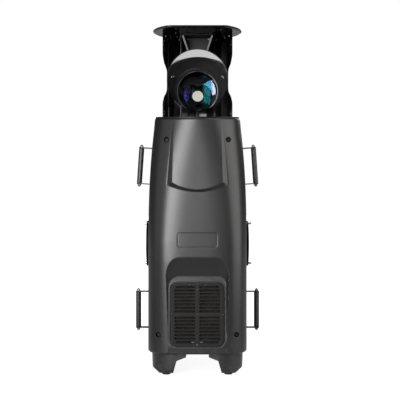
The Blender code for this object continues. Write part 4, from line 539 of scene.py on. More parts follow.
class Form:
    """Grids of points, gathered into one mesh."""

    def __init__(self):
        self.points, self.faces, self.count = [], [], 0

    def grid(self, points, around=False, along=False, flip=False, keep=None):
        """Four-sided faces between the neighbours of a grid of rows by columns.

        around joins the last column to the first, and along the last row to the first. A face
        points to the left of its row's way, seen along its columns, or the other way with flip.
        """
        points = np.asarray(points, float)
        rows, columns = points.shape[:2]
        index = np.arange(rows * columns).reshape(rows, columns) + self.count
        if around:
            index = np.concatenate([index, index[:, :1]], 1)
        if along:
            index = np.concatenate([index, index[:1]], 0)
        quads = np.stack([index[:-1, :-1], index[:-1, 1:], index[1:, 1:], index[1:, :-1]], -1)
        quads = quads[..., ::-1] if flip else quads
        self.points.append(points.reshape(-1, 3))
        self.faces.append(quads.reshape(-1, 4) if keep is None else quads[keep])
        self.count += rows * columns
        return self

    def put(self, points, place=(0.0, 0.0, 0.0), turn=None, closed=False):
        """A round shape, turned and moved from the origin; closed joins its last row to its first."""
        return self.grid(placed(points, place, turn), around=True, along=closed)

    def spin(self, profile, sides, place=(0.0, 0.0, 0.0), turn=None, closed=False, radius_of=None):
        """A surface of revolution, turned and moved from the origin."""
        return self.put(turned(profile, sides, radius_of), place, turn, closed)

    def mesh(self, name, sharp):
        """The gathered mesh, its doubles and empty faces removed."""
        points, faces = np.concatenate(self.points), np.concatenate(self.faces)
        mesh = bpy.data.meshes.new(name)
        mesh.vertices.add(len(points))
        mesh.vertices.foreach_set("co", points.astype(np.float32).ravel())
        mesh.loops.add(faces.size)
        mesh.loops.foreach_set("vertex_index", faces.astype(np.int32).ravel())
        mesh.polygons.add(len(faces))
        mesh.polygons.foreach_set("loop_start", np.arange(0, faces.size, 4, dtype=np.int32))
        mesh.update(calc_edges=True)
        shape = bmesh.new()
        shape.from_mesh(mesh)
        bmesh.ops.remove_doubles(shape, verts=shape.verts, dist=1e-6)
        bmesh.ops.dissolve_degenerate(shape, edges=shape.edges, dist=1e-6)
        loose = [vert for vert in shape.verts if not vert.link_faces]
        bmesh.ops.delete(shape, geom=loose, context="VERTS")
        shape.to_mesh(mesh)
        shape.free()
        mesh.shade_smooth()
        mesh.set_sharp_from_angle(angle=np.radians(sharp))
        return mesh

    def piece(self, name, material, slot, node=None, body=None, sharp=35.0):
        """The gathered mesh as a piece. Edges that fold by more than sharp degrees stay sharp."""
        return settled(linked(name, self.mesh(name, sharp), material), node, body)


def linked(name, mesh, material):
    """An object of this mesh at the origin, in its finish."""
    mesh.materials.clear()
    mesh.materials.append(finish(material))
    made = bpy.data.objects.new(name, mesh)
    bpy.context.scene.collection.objects.link(made)
    return made


def settled(made, node, body=None):
    """A piece that rides a body and stands for a node, where one is named.

    The body is the node's own, or the chassis, unless another is named.
    """
    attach(made, body or (frame["nodes"][node]["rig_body"] if node else "chassis"))
    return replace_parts(made, node) if node else made


def add_modifier(piece, kind, **settings):
    modifier = piece.modifiers.new(kind.title(), kind)
    for key, value in settings.items():
        setattr(modifier, key, value)


def softened(node, material, width, steps=2):
    """A copy of a node's mesh, its flats joined, with every fold and edge rounded."""
    mesh = frame["nodes"][node].data.copy()
    for spare in ("custom_normal", "sharp_edge", "sharp_face"):
        if spare in mesh.attributes:
            mesh.attributes.remove(mesh.attributes[spare])
    shape = bmesh.new()
    shape.from_mesh(mesh)
    bmesh.ops.remove_doubles(shape, verts=shape.verts, dist=2e-6)
    bmesh.ops.dissolve_limit(
        shape, angle_limit=np.radians(0.8), verts=shape.verts, edges=shape.edges)
    shape.to_mesh(mesh)
    shape.free()
    mesh.shade_smooth()
    made = linked(f"{node}_dressed", mesh, material)
    add_modifier(made, "BEVEL", width=width, segments=steps,
                 limit_method="ANGLE", angle_limit=np.radians(28), harden_normals=True,
                 use_clamp_overlap=True)
    return settled(made, node)


def dressed(material, *nodes):
    """Nodes that keep their own meshes and take a better material."""
    for node in nodes:
        mesh = frame["nodes"][node].data
        mesh.materials.clear()
        mesh.materials.append(finish(material))


def eased(share):
    """A soft passage from 0 to 1: 3 t² - 2 t³."""
    share = np.clip(share, 0.0, 1.0)
    return share * share * (3.0 - 2.0 * share)


def soft_most(first, second, reach):
    """The larger of two values, rounded where they come within reach of each other."""
    near = np.clip(reach - np.abs(first - second), 0.0, None) / reach
    return np.maximum(first, second) + near * near * reach / 4.0


def filleted(points, radius, steps=3, closed=False):
    """A polyline with its corners rounded.

    Each corner becomes a curve (1-t)² a + 2t(1-t) corner + t² b between the points a and b
    that lie the radius before and after it, or not quite half its edge where that is less.
    """
    points = np.asarray(points, float)
    reach = []
    for way in (np.roll(points, 1, 0) - points, np.roll(points, -1, 0) - points):
        length = np.linalg.norm(way, axis=1, keepdims=True) + 1e-12
        reach.append(points + way / length * np.minimum(radius, 0.45 * length))
    share = np.linspace(0.0, 1.0, steps + 1)[None, :, None]
    a, corner, b = reach[0][:, None], points[:, None], reach[1][:, None]
    curves = (1 - share) ** 2 * a + 2 * share * (1 - share) * corner + share**2 * b
    if closed:
        return curves.reshape(-1, points.shape[1])
    inside = curves[1:-1].reshape(-1, points.shape[1])
    return np.concatenate([points[:1], inside, points[-1:]])


def mirrored(half):
    """A profile from one end to the other, from the half of it above Z 0."""
    return np.concatenate([(half * (1, -1))[::-1], half[1:]])


def crown(radius, height, steps, base=0.0, power=0.5):
    """A dome's profile, from its rim in to its top: base + height (1 - share²)^power."""
    out = np.linspace(1.0, 0.0, steps)
    return np.stack([radius * out, base + height * (1 - out**2) ** power], 1)


def turned(profile, sides, radius_of=None):
    """A surface of revolution about Z from (radius, height) points, as rows by sides.

    radius_of, if given, changes the radius by row and angle, for hexagons and flats.
    """
    profile = np.asarray(profile, float)
    angle = np.linspace(0.0, 2.0 * np.pi, sides, endpoint=False)
    radius = np.repeat(profile[:, :1], sides, 1)
    if radius_of is not None:
        radius = radius_of(radius, angle[None], profile[:, 1:2])
    height = np.repeat(profile[:, 1:2], sides, 1)
    return np.stack([radius * np.cos(angle), radius * np.sin(angle), height], -1)


def spun(angle, axis):
    """The matrix of a turn about an axis."""
    return np.array(Matrix.Rotation(angle, 3, axis))


QUARTER_TURNS = {"+Z": (0, "X"), "-Z": (2, "X"), "+X": (1, "Y"), "-X": (-1, "Y"),
                 "-Y": (1, "X"), "+Y": (-1, "X")}


def facing(axis):
    """A turn that takes +Z to this axis."""
    quarters, about = QUARTER_TURNS[axis]
    return spun(quarters * np.pi / 2, about)


def placed(points, place=(0.0, 0.0, 0.0), turn=None):
    """Points turned, by a matrix or from +Z to an axis, and moved."""
    points = np.asarray(points, float)
    if turn is not None:
        points = points @ (facing(turn) if isinstance(turn, str) else turn).T
    return points + np.asarray(place, float)


def rounded_outline(width, height, corner, arc=6, run=8):
    """Points and outward normals of a rectangle with round corners, anticlockwise.

    Each corner is a quarter circle of arc + 1 points, and run steps lead to the next one.
    """
    signs = np.array([(1, 1), (-1, 1), (-1, -1), (1, -1)], float)
    angle = np.linspace(0, np.pi / 2, arc + 1)[None] + np.pi / 2 * np.arange(4)[:, None]
    normals = np.stack([np.cos(angle), np.sin(angle)], -1)
    centres = signs * (width / 2 - corner, height / 2 - corner)
    points = centres[:, None] + corner * normals
    share = np.linspace(0.0, 1.0, run + 1)[1:-1][None, :, None]
    ends, starts = points[:, -1:], np.roll(points, -1, 0)[:, :1]
    points = np.concatenate([points, ends * (1 - share) + starts * share], 1)
    normals = np.concatenate([normals, np.repeat(normals[:, -1:], run - 1, 1)], 1)
    return points.reshape(-1, 2), normals.reshape(-1, 2)


def ring_outline(radius, sides):
    """Points and outward normals of a circle, anticlockwise."""
    angle = np.linspace(0, 2 * np.pi, sides, endpoint=False)
    normals = np.stack([np.cos(angle), np.sin(angle)], 1)
    return radius * normals, normals


def outline_distance(x, z, width, height, corner):
    """How far a point lies outside a rectangle with round corners: less than 0 inside."""
    over_x, over_z = np.abs(x) - width / 2 + corner, np.abs(z) - height / 2 + corner
    outside = np.hypot(np.maximum(over_x, 0.0), np.maximum(over_z, 0.0))
    return outside + np.minimum(np.maximum(over_x, over_z), 0.0) - corner


def rim(skin, outline, section, shift=(0.0, 0.0)):
    """A section, in millimetres, carried round an outline that lies on a skin.

    Each row is the outline moved out by a section point's first number, and sunk into the skin
    by its second.
    """
    (points, normals), section = outline, np.array(section) / 1000
    at = points[None] + shift + section[:, :1, None] * normals[None]
    return skin(at[..., 0], at[..., 1], section[:, 1:2])


def stepped(outline, section):
    """An outline's rows, each moved in and raised by the two numbers of a section's point."""
    (points, normals), section = outline, np.array(section)
    at = points[None] - section[:, :1, None] * normals[None]
    return np.concatenate([at, np.broadcast_to(section[:, None, 1:], (*at.shape[:2], 1))], -1)


# The body's surfaces


def taper(z, start):
    """0 up to the start height, then growing evenly to 1 at the cover's top."""
    return np.clip((z - start) / (COVER_TOP_Z - start), 0.0, None)


def between(pair, share):
    """first + (second - first) share."""
    return pair[0] + (pair[1] - pair[0]) * share


def half_width(z):
    """The body's half width: straight, then drawn in by a power of the height."""
    return HALF_WIDTH - TAPER_WIDTH * taper(z, TAPER_START_Z) ** SIDE_POWER


def face_y(side, z):
    """The outermost y of the front (-1) or the rear (+1): straight, then drawn in."""
    drawn = TAPER_FRONT if side < 0 else TAPER_REAR
    return side * (HALF_DEPTH - drawn * taper(z, FACE_START_Z) ** FACE_POWER)


def corner_depth(side, z):
    """How deep the round of the face is, wall to wall at the most."""
    depth = between(CORNER_DEPTHS, np.minimum(1.0, taper(z, TAPER_START_Z)))
    return np.minimum(depth, np.abs(face_y(side, z)) - COVER_WALL)


def corner_middle(side, z):
    """Where the round of the face ends and the straight side begins."""
    return face_y(side, z) - side * corner_depth(side, z)


def body_y(side, x, z, inset=0.0):
    """The face at x: a superellipse in plan, y = middle + depth sqrt(1 - |x / width|^power)."""
    power = between(CORNER_POWERS, np.minimum(1.0, taper(z, TAPER_START_Z)))
    across = np.clip(np.abs(x) / (half_width(z) - inset), 0.0, 1.0) ** power
    return corner_middle(side, z) + side * (corner_depth(side, z) - inset) * np.sqrt(1.0 - across)


def raised(x, z):
    """How far the raised panel stands out.

    Its full height times (1 - share of its length from the foot), less a chamfer that runs round
    its sides and its arched foot. The chamfer's share at a point is the root of the sum of the
    squares of the share across the side step, which narrows upwards, and of that across the foot,
    which widens outwards. A shallow groove follows the chamfer's outer edge along the sides.
    """
    inner = np.minimum(np.abs(x), RAISED_HALF_WIDTH) / RAISED_HALF_WIDTH
    low = RAISED_BOTTOM_Z + RAISED_ARC * inner**2
    share = np.clip((z - low) / (RAISED_TOP_Z - low), 0.0, 1.0)
    step = between(RAISED_STEPS, share)
    beside = (np.abs(x) - RAISED_HALF_WIDTH + RAISED_DRAW * share) / step
    below = (low - z) / (RAISED_FOOT + RAISED_FOOT_GROWTH * inner**2)
    out = np.hypot(np.maximum(beside, 0.0), np.maximum(below, 0.0))
    out = out + np.minimum(np.maximum(beside, below), 0.0)
    chamfer = 1.0 - soft_most(out, 0.0, RAISED_SOFTNESS)
    chamfer = np.clip(soft_most(chamfer, 0.0, RAISED_SOFTNESS), 0.0, 1.0)
    groove = eased(1.0 - np.abs(out - GROOVE_MIDDLE) / GROOVE_HALF) * eased(1.0 - below)
    return sizes().raised_height * (1.0 - share) * chamfer - RAISED_GROOVE * step * groove


def on_floor(x, up, sunk):
    """A point over the recess floor, from its place across and up the floor and its depth."""
    cosine, sine = np.cos(RECESS_SLOPE), np.sin(RECESS_SLOPE)
    x, up, sunk = np.broadcast_arrays(x, up, sunk)
    y = GRILLE_MIDDLE_Y + sunk * cosine + up * sine
    z = GRILLE_MIDDLE_Z - sunk * sine + up * cosine
    return np.stack([x, y, z], -1)


def recess_y(x, z):
    """The scooped recess: a leaning floor whose sides and top flare outwards.

    At a distance d out of the floor its outline is wider by 0.5 d on each side and higher by
    2.15 d than the floor's own, and its corners' radius grows by 0.5 d. d is 0 over the floor, and
    elsewhere the distance at which the outline passes through the point. At a corner that is the
    smaller root of a square equation, and the whole is worked out again with each better d.
    """
    cosine, sine = np.cos(RECESS_SLOPE), np.sin(RECESS_SLOPE)
    top = (RECESS_TOP_Z - GRILLE_MIDDLE_Z) / cosine
    second = TOP_FLARE - SIDE_FLARE
    square = second**2 - SIDE_FLARE**2
    a = np.maximum(np.abs(x) - (RECESS_HALF_WIDTH - RECESS_CORNER), 0.0)
    beside = (np.abs(x) - RECESS_HALF_WIDTH) / SIDE_FLARE
    out = np.zeros(np.broadcast(x, z).shape)
    for _ in range(4):
        b = (z - GRILLE_MIDDLE_Z - out * sine) / cosine - (top - RECESS_CORNER)
        linear = 2 * second * b + 2 * SIDE_FLARE * RECESS_CORNER
        under = np.maximum(linear**2 - 4 * square * (a**2 + b**2 - RECESS_CORNER**2), 0.0)
        corner = (linear - np.sqrt(under)) / (2 * square)
        out = np.where(b - second * np.maximum(beside, 0.0) <= 0.0, beside, corner)
        out = soft_most(out, 0.0, RECESS_SOFTNESS)
    up = (z - GRILLE_MIDDLE_Z - out * sine) / cosine
    return GRILLE_MIDDLE_Y - out * cosine + up * sine


def front_y(x, z):
    """The front cover's face: the body, the raised panel on it and the recess cut from it."""
    face = soft_most(body_y(-1, x, z) - raised(x, z), recess_y(x, z), RECESS_BRIM)
    run = eased((RUNOUT_Z + RUNOUT_RISE - z) / RUNOUT_BAND)
    run = run * eased((RECESS_HALF_WIDTH + RUNOUT_OVER - np.abs(x)) / RUNOUT_EDGE)
    return face + RUNOUT_DEPTH * run


def front_skin(x, z, sunk):
    """The point at x and z that lies this deep under the front cover's face."""
    x, z, sunk = np.broadcast_arrays(x, z, sunk)
    return np.stack([x, front_y(x, z) + sunk, z], -1)


def rear_skin(x, z, sunk):
    """The point at x and z that lies this deep under the rear cover's face."""
    x, z, sunk = np.broadcast_arrays(x, z, sunk)
    return np.stack([x, body_y(1, x, z) - sunk, z], -1)


def handle_lines():
    """Middle height, lean and middle x of each handle on the right side."""
    leans = [np.arctan2(half_width(z - 0.001) - half_width(z + 0.001), 0.002) for z in HANDLE_LEVELS]
    return [(z, lean, half_width(z) + HANDLE_REACH) for z, lean in zip(HANDLE_LEVELS, leans)]


def ear_heights():
    """The heights at which the handle ears pass through the covers' sides."""
    heights = []
    for z, lean, x in handle_lines():
        for along in (-EAR_SPACING / 2, EAR_SPACING / 2):
            tip_x, tip_z = x - along * np.sin(lean), z + along * np.cos(lean)
            heights.append(tip_z + (half_width(tip_z) - tip_x) * np.tan(lean))
    return np.array(heights)


def stops(*spans):
    return np.concatenate([np.arange(*span) for span in spans])


def cover_rows(side):
    """(height, inset) of the rows: a rolled lip at the bottom, the face and a rolled lip on top."""
    bottom = COVER_BOTTOM_Z + np.array([20, 1.8, 0.5, 0, 0, 0.5, 1.8, 3.2, 4.8]) / 1000
    bottom_inset = np.array([7.2, 7.2, 6.6, 5.6, 4.6, 3.1, 1.4, 0.4, 0]) / 1000
    top = COVER_TOP_Z - np.array([4.0, 2.2, 0.9, 0.2, 0, 0.4, 14]) / 1000
    top_inset = np.array([0, 0.3, 1.0, 1.9, 2.9, 3.5, 3.6]) / 1000
    low, high = BADGE_Z - BADGE[1] / 2, BADGE_Z + BADGE[1] / 2
    face = stops((0.0725, 0.768, 0.0035)) if side > 0 else stops(
        (0.0725, 0.298, 0.0030), (0.298, 0.361, 0.0013), (0.361, low - 0.005, 0.0040),
        (low - 0.005, low + 0.009, 0.0012), (low + 0.009, high - 0.009, 0.0040),
        (high - 0.009, high + 0.005, 0.0012), (high + 0.005, 0.552, 0.0040),
        (0.552, 0.594, 0.0009), (0.594, 0.768, 0.0036))
    marks = np.concatenate([ear_heights() - SLOT_HALF, ear_heights() + SLOT_HALF])
    far = np.min(np.abs(face[:, None] - marks[None]), 1) > 0.0012
    face = np.sort(np.concatenate([face[far], marks]))
    heights = np.concatenate([bottom, face, top])
    return heights[:, None], np.concatenate([bottom_inset, np.zeros(len(face)), top_inset])[:, None]


def cover_columns(side):
    """Shares of the half width from the middle to the corner, close together where steps run."""
    fine = 0.0011 if side < 0 else 0.0028
    middle = stops((0.0, 0.050, 0.0028), (0.050, 0.064, fine), (0.064, 0.070, 0.0020),
                   (0.070, 0.100, fine))
    corner = np.linspace(1.0 - np.sqrt(1.0 - 0.100 / HALF_WIDTH), 1.0, 42)
    return np.concatenate([middle / HALF_WIDTH, 1.0 - (1.0 - corner) ** 2])[None]


def shoulder(x, z):
    """How far the top edge rises towards the sides, so that its brow runs level with the nose.

    SHOULDER (1 - sqrt(1 - |x / width|²)) at the very top, eased away over the band below it.
    """
    across = np.clip(np.abs(x) / (HALF_WIDTH - TAPER_WIDTH), 0.0, 1.0)
    rise = eased((z - COVER_TOP_Z + SHOULDER_BAND) / SHOULDER_BAND)
    return SHOULDER * (1.0 - np.sqrt(1.0 - across**2)) * rise


def cover_points(side):
    """One cover as rows from the bottom up by columns from one parting edge to the other."""
    z, inset = cover_rows(side)
    x = cover_columns(side) * (half_width(z) - inset)
    y = body_y(side, x, z, inset)
    if side < 0:
        y = y + front_y(x, z) - body_y(side, x, z)
        badge = outline_distance(x, z - BADGE_Z, *BADGE)
        y = y + sizes().badge_depth * eased(1.0 - badge / 0.002)
    else:
        opening = outline_distance(x, z - PANEL_Z, *PANEL_OPENING)
        y = y - 0.0004 * eased(1.0 - (opening - 0.0020) / 0.0020)
    near = np.array([(12.0, 0.0), (1.6, 0.0), (0.8, 0.1), (0.3, 0.5), (0.0, 1.3), (0.0, 3.0)]) / 1000
    middle = corner_middle(side, z)
    run = np.linspace(0.0, 1.0, 7)[1:-1][None]
    run_y = middle + (side * near[0, 0] - middle) * run
    edge_y = np.repeat(side * (near[None, :, 0] + PARTING), len(z), 0)
    roll = np.concatenate([np.zeros(run.shape[1]), near[:, 1]])[None]
    half_x = np.concatenate([x, half_width(z) - inset - roll], 1)
    half_y = np.concatenate([y, run_y, edge_y], 1)
    x = np.concatenate([half_x[:, ::-1], -half_x[:, 1:]], 1)
    y = np.concatenate([half_y[:, ::-1], half_y[:, 1:]], 1)
    z = np.repeat(z, x.shape[1], 1)
    return np.stack([x, y, z + shoulder(x, z)], -1)


def slot_places():
    """Place across and up the recess floor, length, side, group and row of each grille slot."""
    height = sizes().slot_height
    places = []
    for side in (-1, 1):
        for group in (-1, 1):
            for row in range(SLOT_ROWS):
                up = group * ((BAR_WIDTH + height) / 2 + row * SLOT_PITCH)
                length = SLOT_LENGTH - (LAST_SLOT_LESS if row == SLOT_ROWS - 1 else 0.0)
                places.append((side * (BAR_WIDTH + length) / 2, up, length, side, group, row))
    return places


def vent_places():
    return [
        (side * (VENT[0] + VENT_BAR) / 2, VENT_LOW_Z + row * VENT_PITCH)
        for row in range(VENT_ROWS)
        for side in (-1, 1)
    ]


def screw_places():
    return [(side * x, z) for x, z in SCREWS for side in (-1, 1)]


def hexagonal(first, last):
    """A radius_of that makes these rows of a profile hexagons, with its radius over the corners."""

    def radius_of(radius, angle, height):
        row = np.arange(len(radius))[:, None]
        part = np.mod(angle, np.pi / 3) - np.pi / 6
        six = radius * np.cos(np.pi / 6) / np.cos(part)
        return np.where((row >= first) & (row <= last), six, radius)

    return radius_of


def cap_screw(radius, height):
    """A cap screw's head on Z, from its foot over its crown into a hexagonal socket."""
    socket, deep = 0.56 * radius, height - radius * 0.7
    head = filleted([(radius, 0.0), (radius, height), (socket * 1.06, height)], radius * 0.18)
    profile = np.concatenate([head, [(socket, height - 0.0002), (socket, deep), (0.0, deep)]])
    return turned(profile, 48, hexagonal(len(head), len(profile)))


def pan_head_screw(radius, height):
    """A low round head on Z with a shallow cross socket worked into its crown."""
    profile = np.concatenate([[(radius, 0.0)], crown(radius, 0.65 * height, 9, 0.35 * height)])
    points = turned(profile, 32)
    x, y = points[..., 0], points[..., 1]
    cross = (np.minimum(np.abs(x), np.abs(y)) < radius * 0.14) & (np.hypot(x, y) < 0.62 * radius)
    points[..., 2] -= np.where(cross, height * 0.45, 0.0)
    return points


# Operators


class ScannerOperator:
    """What every builder of the light shares."""

    bl_options = {"REGISTER", "UNDO"}

    def execute(self, context):
        self.build()
        return {"FINISHED"}


class SCANNER_OT_covers(ScannerOperator, Operator):
    """Build the front and rear covers with their rims, bores, vents and openings"""

    bl_idname = "scanner.covers"
    bl_label = "Covers"

    def build(self):
        self.badge_plate()
        self.front()
        self.rear()

    def opened(self, points, gone):
        """Which faces stay: not those in the handle slots, nor those that gone() names."""
        middle = (points[:-1, :-1] + points[:-1, 1:] + points[1:, 1:] + points[1:, :-1]) / 4
        x, y, z = np.moveaxis(middle, -1, 0)
        ears = np.min(np.abs(z[..., None] - ear_heights()), -1) < SLOT_HALF
        slots = ears & (np.abs(y) < EAR_WIDTH / 2 + 0.001) & (np.abs(x) > 0.1)
        return ~(slots | gone(x, z) & (np.abs(y) > 0.1))

    def badge_plate(self):
        """A bare plate in the badge recess, with a narrow dark gap round it."""
        width, height, corner = BADGE
        outline = rounded_outline(
            width - 2 * BADGE_GAP, height - 2 * BADGE_GAP, corner - BADGE_GAP, 8, 30)
        rings = rim(front_skin, outline, [(0.0, 1.6), (0.0, 0.7), (-0.1, 0.45), (-0.4, 0.35)],
                    (0.0, BADGE_Z))
        x, z = (outline[0] - 0.0004 * outline[1]).T
        share = np.linspace(0.97, 0.0, 14)[:, None]
        flat = front_skin(x * share, z * share + BADGE_Z, BADGE_SUNK)
        plate = Form().grid(np.concatenate([rings, flat]), around=True)
        plate.piece("badge_plate_bare", "moulded_charcoal", "charcoal_cover")

    def front(self):
        pocket = np.array(GRILLE) + GRILLE_CLEARANCE * np.array([2, 2, 1])

        def gone(x, z):
            up = (z - GRILLE_MIDDLE_Z) / np.cos(RECESS_SLOPE)
            holes = outline_distance(x, up, *pocket) < UNDER_LIP
            for bore_x, bore_z in screw_places():
                holes |= np.hypot(x - bore_x, z - bore_z) < BORE_RADIUS + 0.0009
            return holes

        points = cover_points(-1)
        form = Form().grid(points, flip=True, keep=self.opened(points, gone))
        lip = [(3.6, 0.4), (3.2, -0.1), (1.0, -0.25), (0.4, -0.15), (0.1, 0.2), (0, 0.7), (0, 6.0),
               (-8.0, 6.0), (-8.0, 6.6)]
        form.grid(rim(on_floor, rounded_outline(*pocket, 12, 24), lip), around=True, flip=True)
        depth = 1000 * sizes().badge_depth
        lip = [(2.4, 0.2), (2.1, -0.08), (0.7, -0.12), (0.15, 0.05), (0, 0.35), (-0.05, depth - 0.3),
               (-0.3, depth - 0.12), (-2.4, depth - 0.06), (-2.6, depth + 0.2)]
        at = rim(front_skin, rounded_outline(*BADGE, 8, 30), lip, (0.0, BADGE_Z))
        form.grid(at, around=True, flip=True)
        lip = [(3.0, 0.5), (2.6, -0.05), (0.9, -0.12), (0.25, 0.15), (0, 0.8), (0, 15), (-8, 15)]
        screws = Form()
        for x, z in screw_places():
            bore = rim(front_skin, ring_outline(BORE_RADIUS, 44), lip, (x, z))
            form.grid(bore, around=True, flip=True)
            floor = front_y(np.array(x), np.array(z)) + SCREW_SUNK
            screws.put(cap_screw(0.0048, 0.0042), (x, floor, z), "-Y")
        form.piece("front_cover_shell", "moulded_charcoal", "charcoal_cover", "front_cover", sharp=40.0)
        screws.piece("cover_screws", "black_steel", "dark_bracket")

    def rear(self):
        def gone(x, z):
            holes = outline_distance(x, z - PANEL_Z, *PANEL_OPENING) < UNDER_LIP
            for vent_x, vent_z in vent_places():
                holes |= outline_distance(x - vent_x, z - vent_z, *VENT) < UNDER_LIP
            return holes

        points = cover_points(1)
        form, blades = Form().grid(points, keep=self.opened(points, gone)), Form()
        lip = [(3.4, 0.4), (3.0, -0.05), (0.9, -0.12), (0.25, 0.1), (0, 0.6), (0, 5.0)]
        across = np.linspace(-0.5, 0.5, 24)[None] * (VENT[0] - 0.003)
        blade = filleted([(3.2, 2.0), (4.2, 2.0), (-1.8, 15.0), (-2.8, 15.0)], 0.4, 2, True) / 1000
        for x, z in vent_places():
            form.grid(rim(rear_skin, rounded_outline(*VENT, 6, 20), lip, (x, z)), around=True)
            blades.grid(rear_skin(x + across, z + blade[:, :1], blade[:, 1:2]), along=True)
        lip = [(4.6, 0.7), (4.2, 0.03), (1.6, 0.03), (0.5, 0.12), (0.05, 0.5), (0, 1.2), (0, 8.4)]
        opening = rounded_outline(*PANEL_OPENING, 8, 40)
        form.grid(rim(rear_skin, opening, lip, (0.0, PANEL_Z)), around=True)
        form.piece("rear_cover_shell", "moulded_charcoal", "charcoal_cover", "rear_cover", sharp=40.0)
        blades.piece("rear_louvres", "moulded_charcoal", "charcoal_cover")


class SCANNER_OT_grille(ScannerOperator, Operator):
    """Build the slotted intake grille with its rivets, clips and screw"""

    bl_idname = "scanner.grille"
    bl_label = "Intake grille"

    def build(self):
        field = np.array([BAR_WIDTH / 2 + SLOT_LENGTH + FIELD_MARGIN,
                          (BAR_WIDTH + sizes().slot_height) / 2 + (SLOT_ROWS - 0.5) * SLOT_PITCH])
        form = Form()
        for place in slot_places():
            form.grid(self.cell(*place, field[0]), around=True, flip=True)
        points, normals = rounded_outline(*GRILLE, 12, 24)
        outline = (points - 0.0008 * normals, normals)
        inner = np.clip(outline[0], -field, field)
        edge = [(-1.0, 0.0), (-0.4, 0.06), (-0.1, 0.3), (0.0, 0.8), (0.0, 3.0)]
        flat = on_floor(inner[:, 0], inner[:, 1], 0.0)[None]
        form.grid(np.concatenate([flat, rim(on_floor, outline, edge)]), around=True)
        form.piece("intake_grille_plate", "matt_enamel", "dark_bracket", "intake_grille", sharp=50.0)
        self.fixings()
        dressed("filter_mat", "air_filter")

    def cell(self, x, up, length, side, group, row, field_x):
        """One slot with its share of the plate: rings from its wall out to the cell's rectangle.

        The four quarters have nine points round a corner of the slot and five along the run after
        it. The corner's points spread over the two sides that meet in the cell's corner, and a
        run's points go straight out to the side that lies over them.
        """
        half_height = sizes().slot_height / 2
        radius = half_height * 0.97
        points, normals = rounded_outline(length, 2 * half_height, radius, 8, 6)
        section = np.array([(0.0, 3.0), (0.0, 0.8), (0.12, 0.3), (0.4, 0.06), (0.85, 0.0)]) / 1000
        rings = points[None] + section[:, :1, None] * normals[None]
        first, last = up - SLOT_PITCH / 2, up + SLOT_PITCH / 2
        if row == 0:
            first, last = (0.0, last) if group > 0 else (first, 0.0)
        left, right = sorted((0.0, side * field_x))
        quarter = np.repeat(np.arange(4), 14)
        step = np.tile(np.concatenate([np.arange(9) / 8, np.full(5, 2.0)]), 4)
        sign = np.array([(1, 1), (-1, 1), (-1, -1), (1, -1)])[quarter]
        corner = np.where(sign > 0, (right, last), (left, first)) - (x, up)
        inner = sign * (length / 2 - radius, half_height - radius)
        toward = 2.0 * np.minimum(step, 1.0 - step)[:, None]
        moving = np.where(step[:, None] > 1.0, points, inner + (corner - inner) * toward)
        on_x_side = ((step <= 0.5) == (quarter % 2 == 0))[:, None]
        edge = np.where(on_x_side == [True, False], corner, moving)
        flat = np.concatenate([rings, edge[None]])
        depth = np.append(section[:, 1], 0.0)[:, None]
        return on_floor(flat[..., 0] + x, flat[..., 1] + up, depth)

    def fixings(self):
        rivets, clips = Form(), Form()
        cap = np.concatenate([[(0.0023, -0.0004)], crown(0.0023, 0.0011, 7)])
        lean = spun(-RECESS_SLOPE, "X") @ facing("-Y")
        for x, up in ((-0.024, 0.0895), (0.0, 0.0895), (0.024, 0.0895), (0.0, 0.075), (0.0, 0.0),
                      (-0.0765, 0.0), (0.0765, 0.0)):
            rivets.spin(cap, 24, on_floor(x, up, 0.0), lean)
        rivets.put(pan_head_screw(0.0032, 0.0010), on_floor(0.0, -0.0905, 0.0), lean)
        rivets.piece("grille_rivets", "dark_zinc", "dark_bracket")
        clip = filleted([(0, 0), (0.0100, 0), (0.0100, 0.0040), (0, 0.0040)], 0.0008, 3, True)
        shrink, level = np.array([(1.0, 3.0), (1.0, 1.0), (0.85, 0.6), (0.0, 0.6)]).T[..., None]
        at = (clip - (0.0050, 0.0020)) * shrink[..., None]
        up = (BAR_WIDTH + sizes().slot_height) / 2 + (SLOT_ROWS - 1) * SLOT_PITCH
        for x in (-0.0125, 0.0125):
            clips.grid(on_floor(x + at[..., 0], at[..., 1] - up, level / 1000), around=True)
        clips.piece("grille_clips", "dark_zinc", "aluminium")


class SCANNER_OT_feet(ScannerOperator, Operator):
    """Round the moulded feet and build their rubber pads"""

    bl_idname = "scanner.feet"
    bl_label = "Feet"

    def build(self):
        for corner in ("front_left", "front_right", "rear_left", "rear_right"):
            foot = softened(f"foot_{corner}", "moulded_charcoal", 0.0022, 3)
            points = np.empty((len(foot.data.vertices), 3), np.float32)
            foot.data.vertices.foreach_get("co", points.ravel())
            low = points[:, 2] < node_box(f"foot_{corner}")[0][2] + 0.0005
            points[low, 2] -= FOOT_DROP
            foot.data.vertices.foreach_set("co", points.ravel())
            node = f"foot_pad_{corner}"
            low, high = node_box(node)
            radius, height = (high[0] - low[0]) / 2, high[2]
            profile = filleted([
                (0, 0.0012), (radius * 0.45, 0.0012), (radius * 0.5, 0), (radius * 0.93, 0),
                (radius, 0.0016), (radius, height * 0.45), (radius * 0.9, height * 0.52),
                (radius * 0.9, height * 0.62), (radius, height * 0.7), (radius, height),
                (0, height)], 0.0009)
            pad = Form().spin(profile, 56, node_middle(node) * (1, 1, 0))
            pad.piece(f"{node}_ribbed", "foot_rubber", "rubber", node)


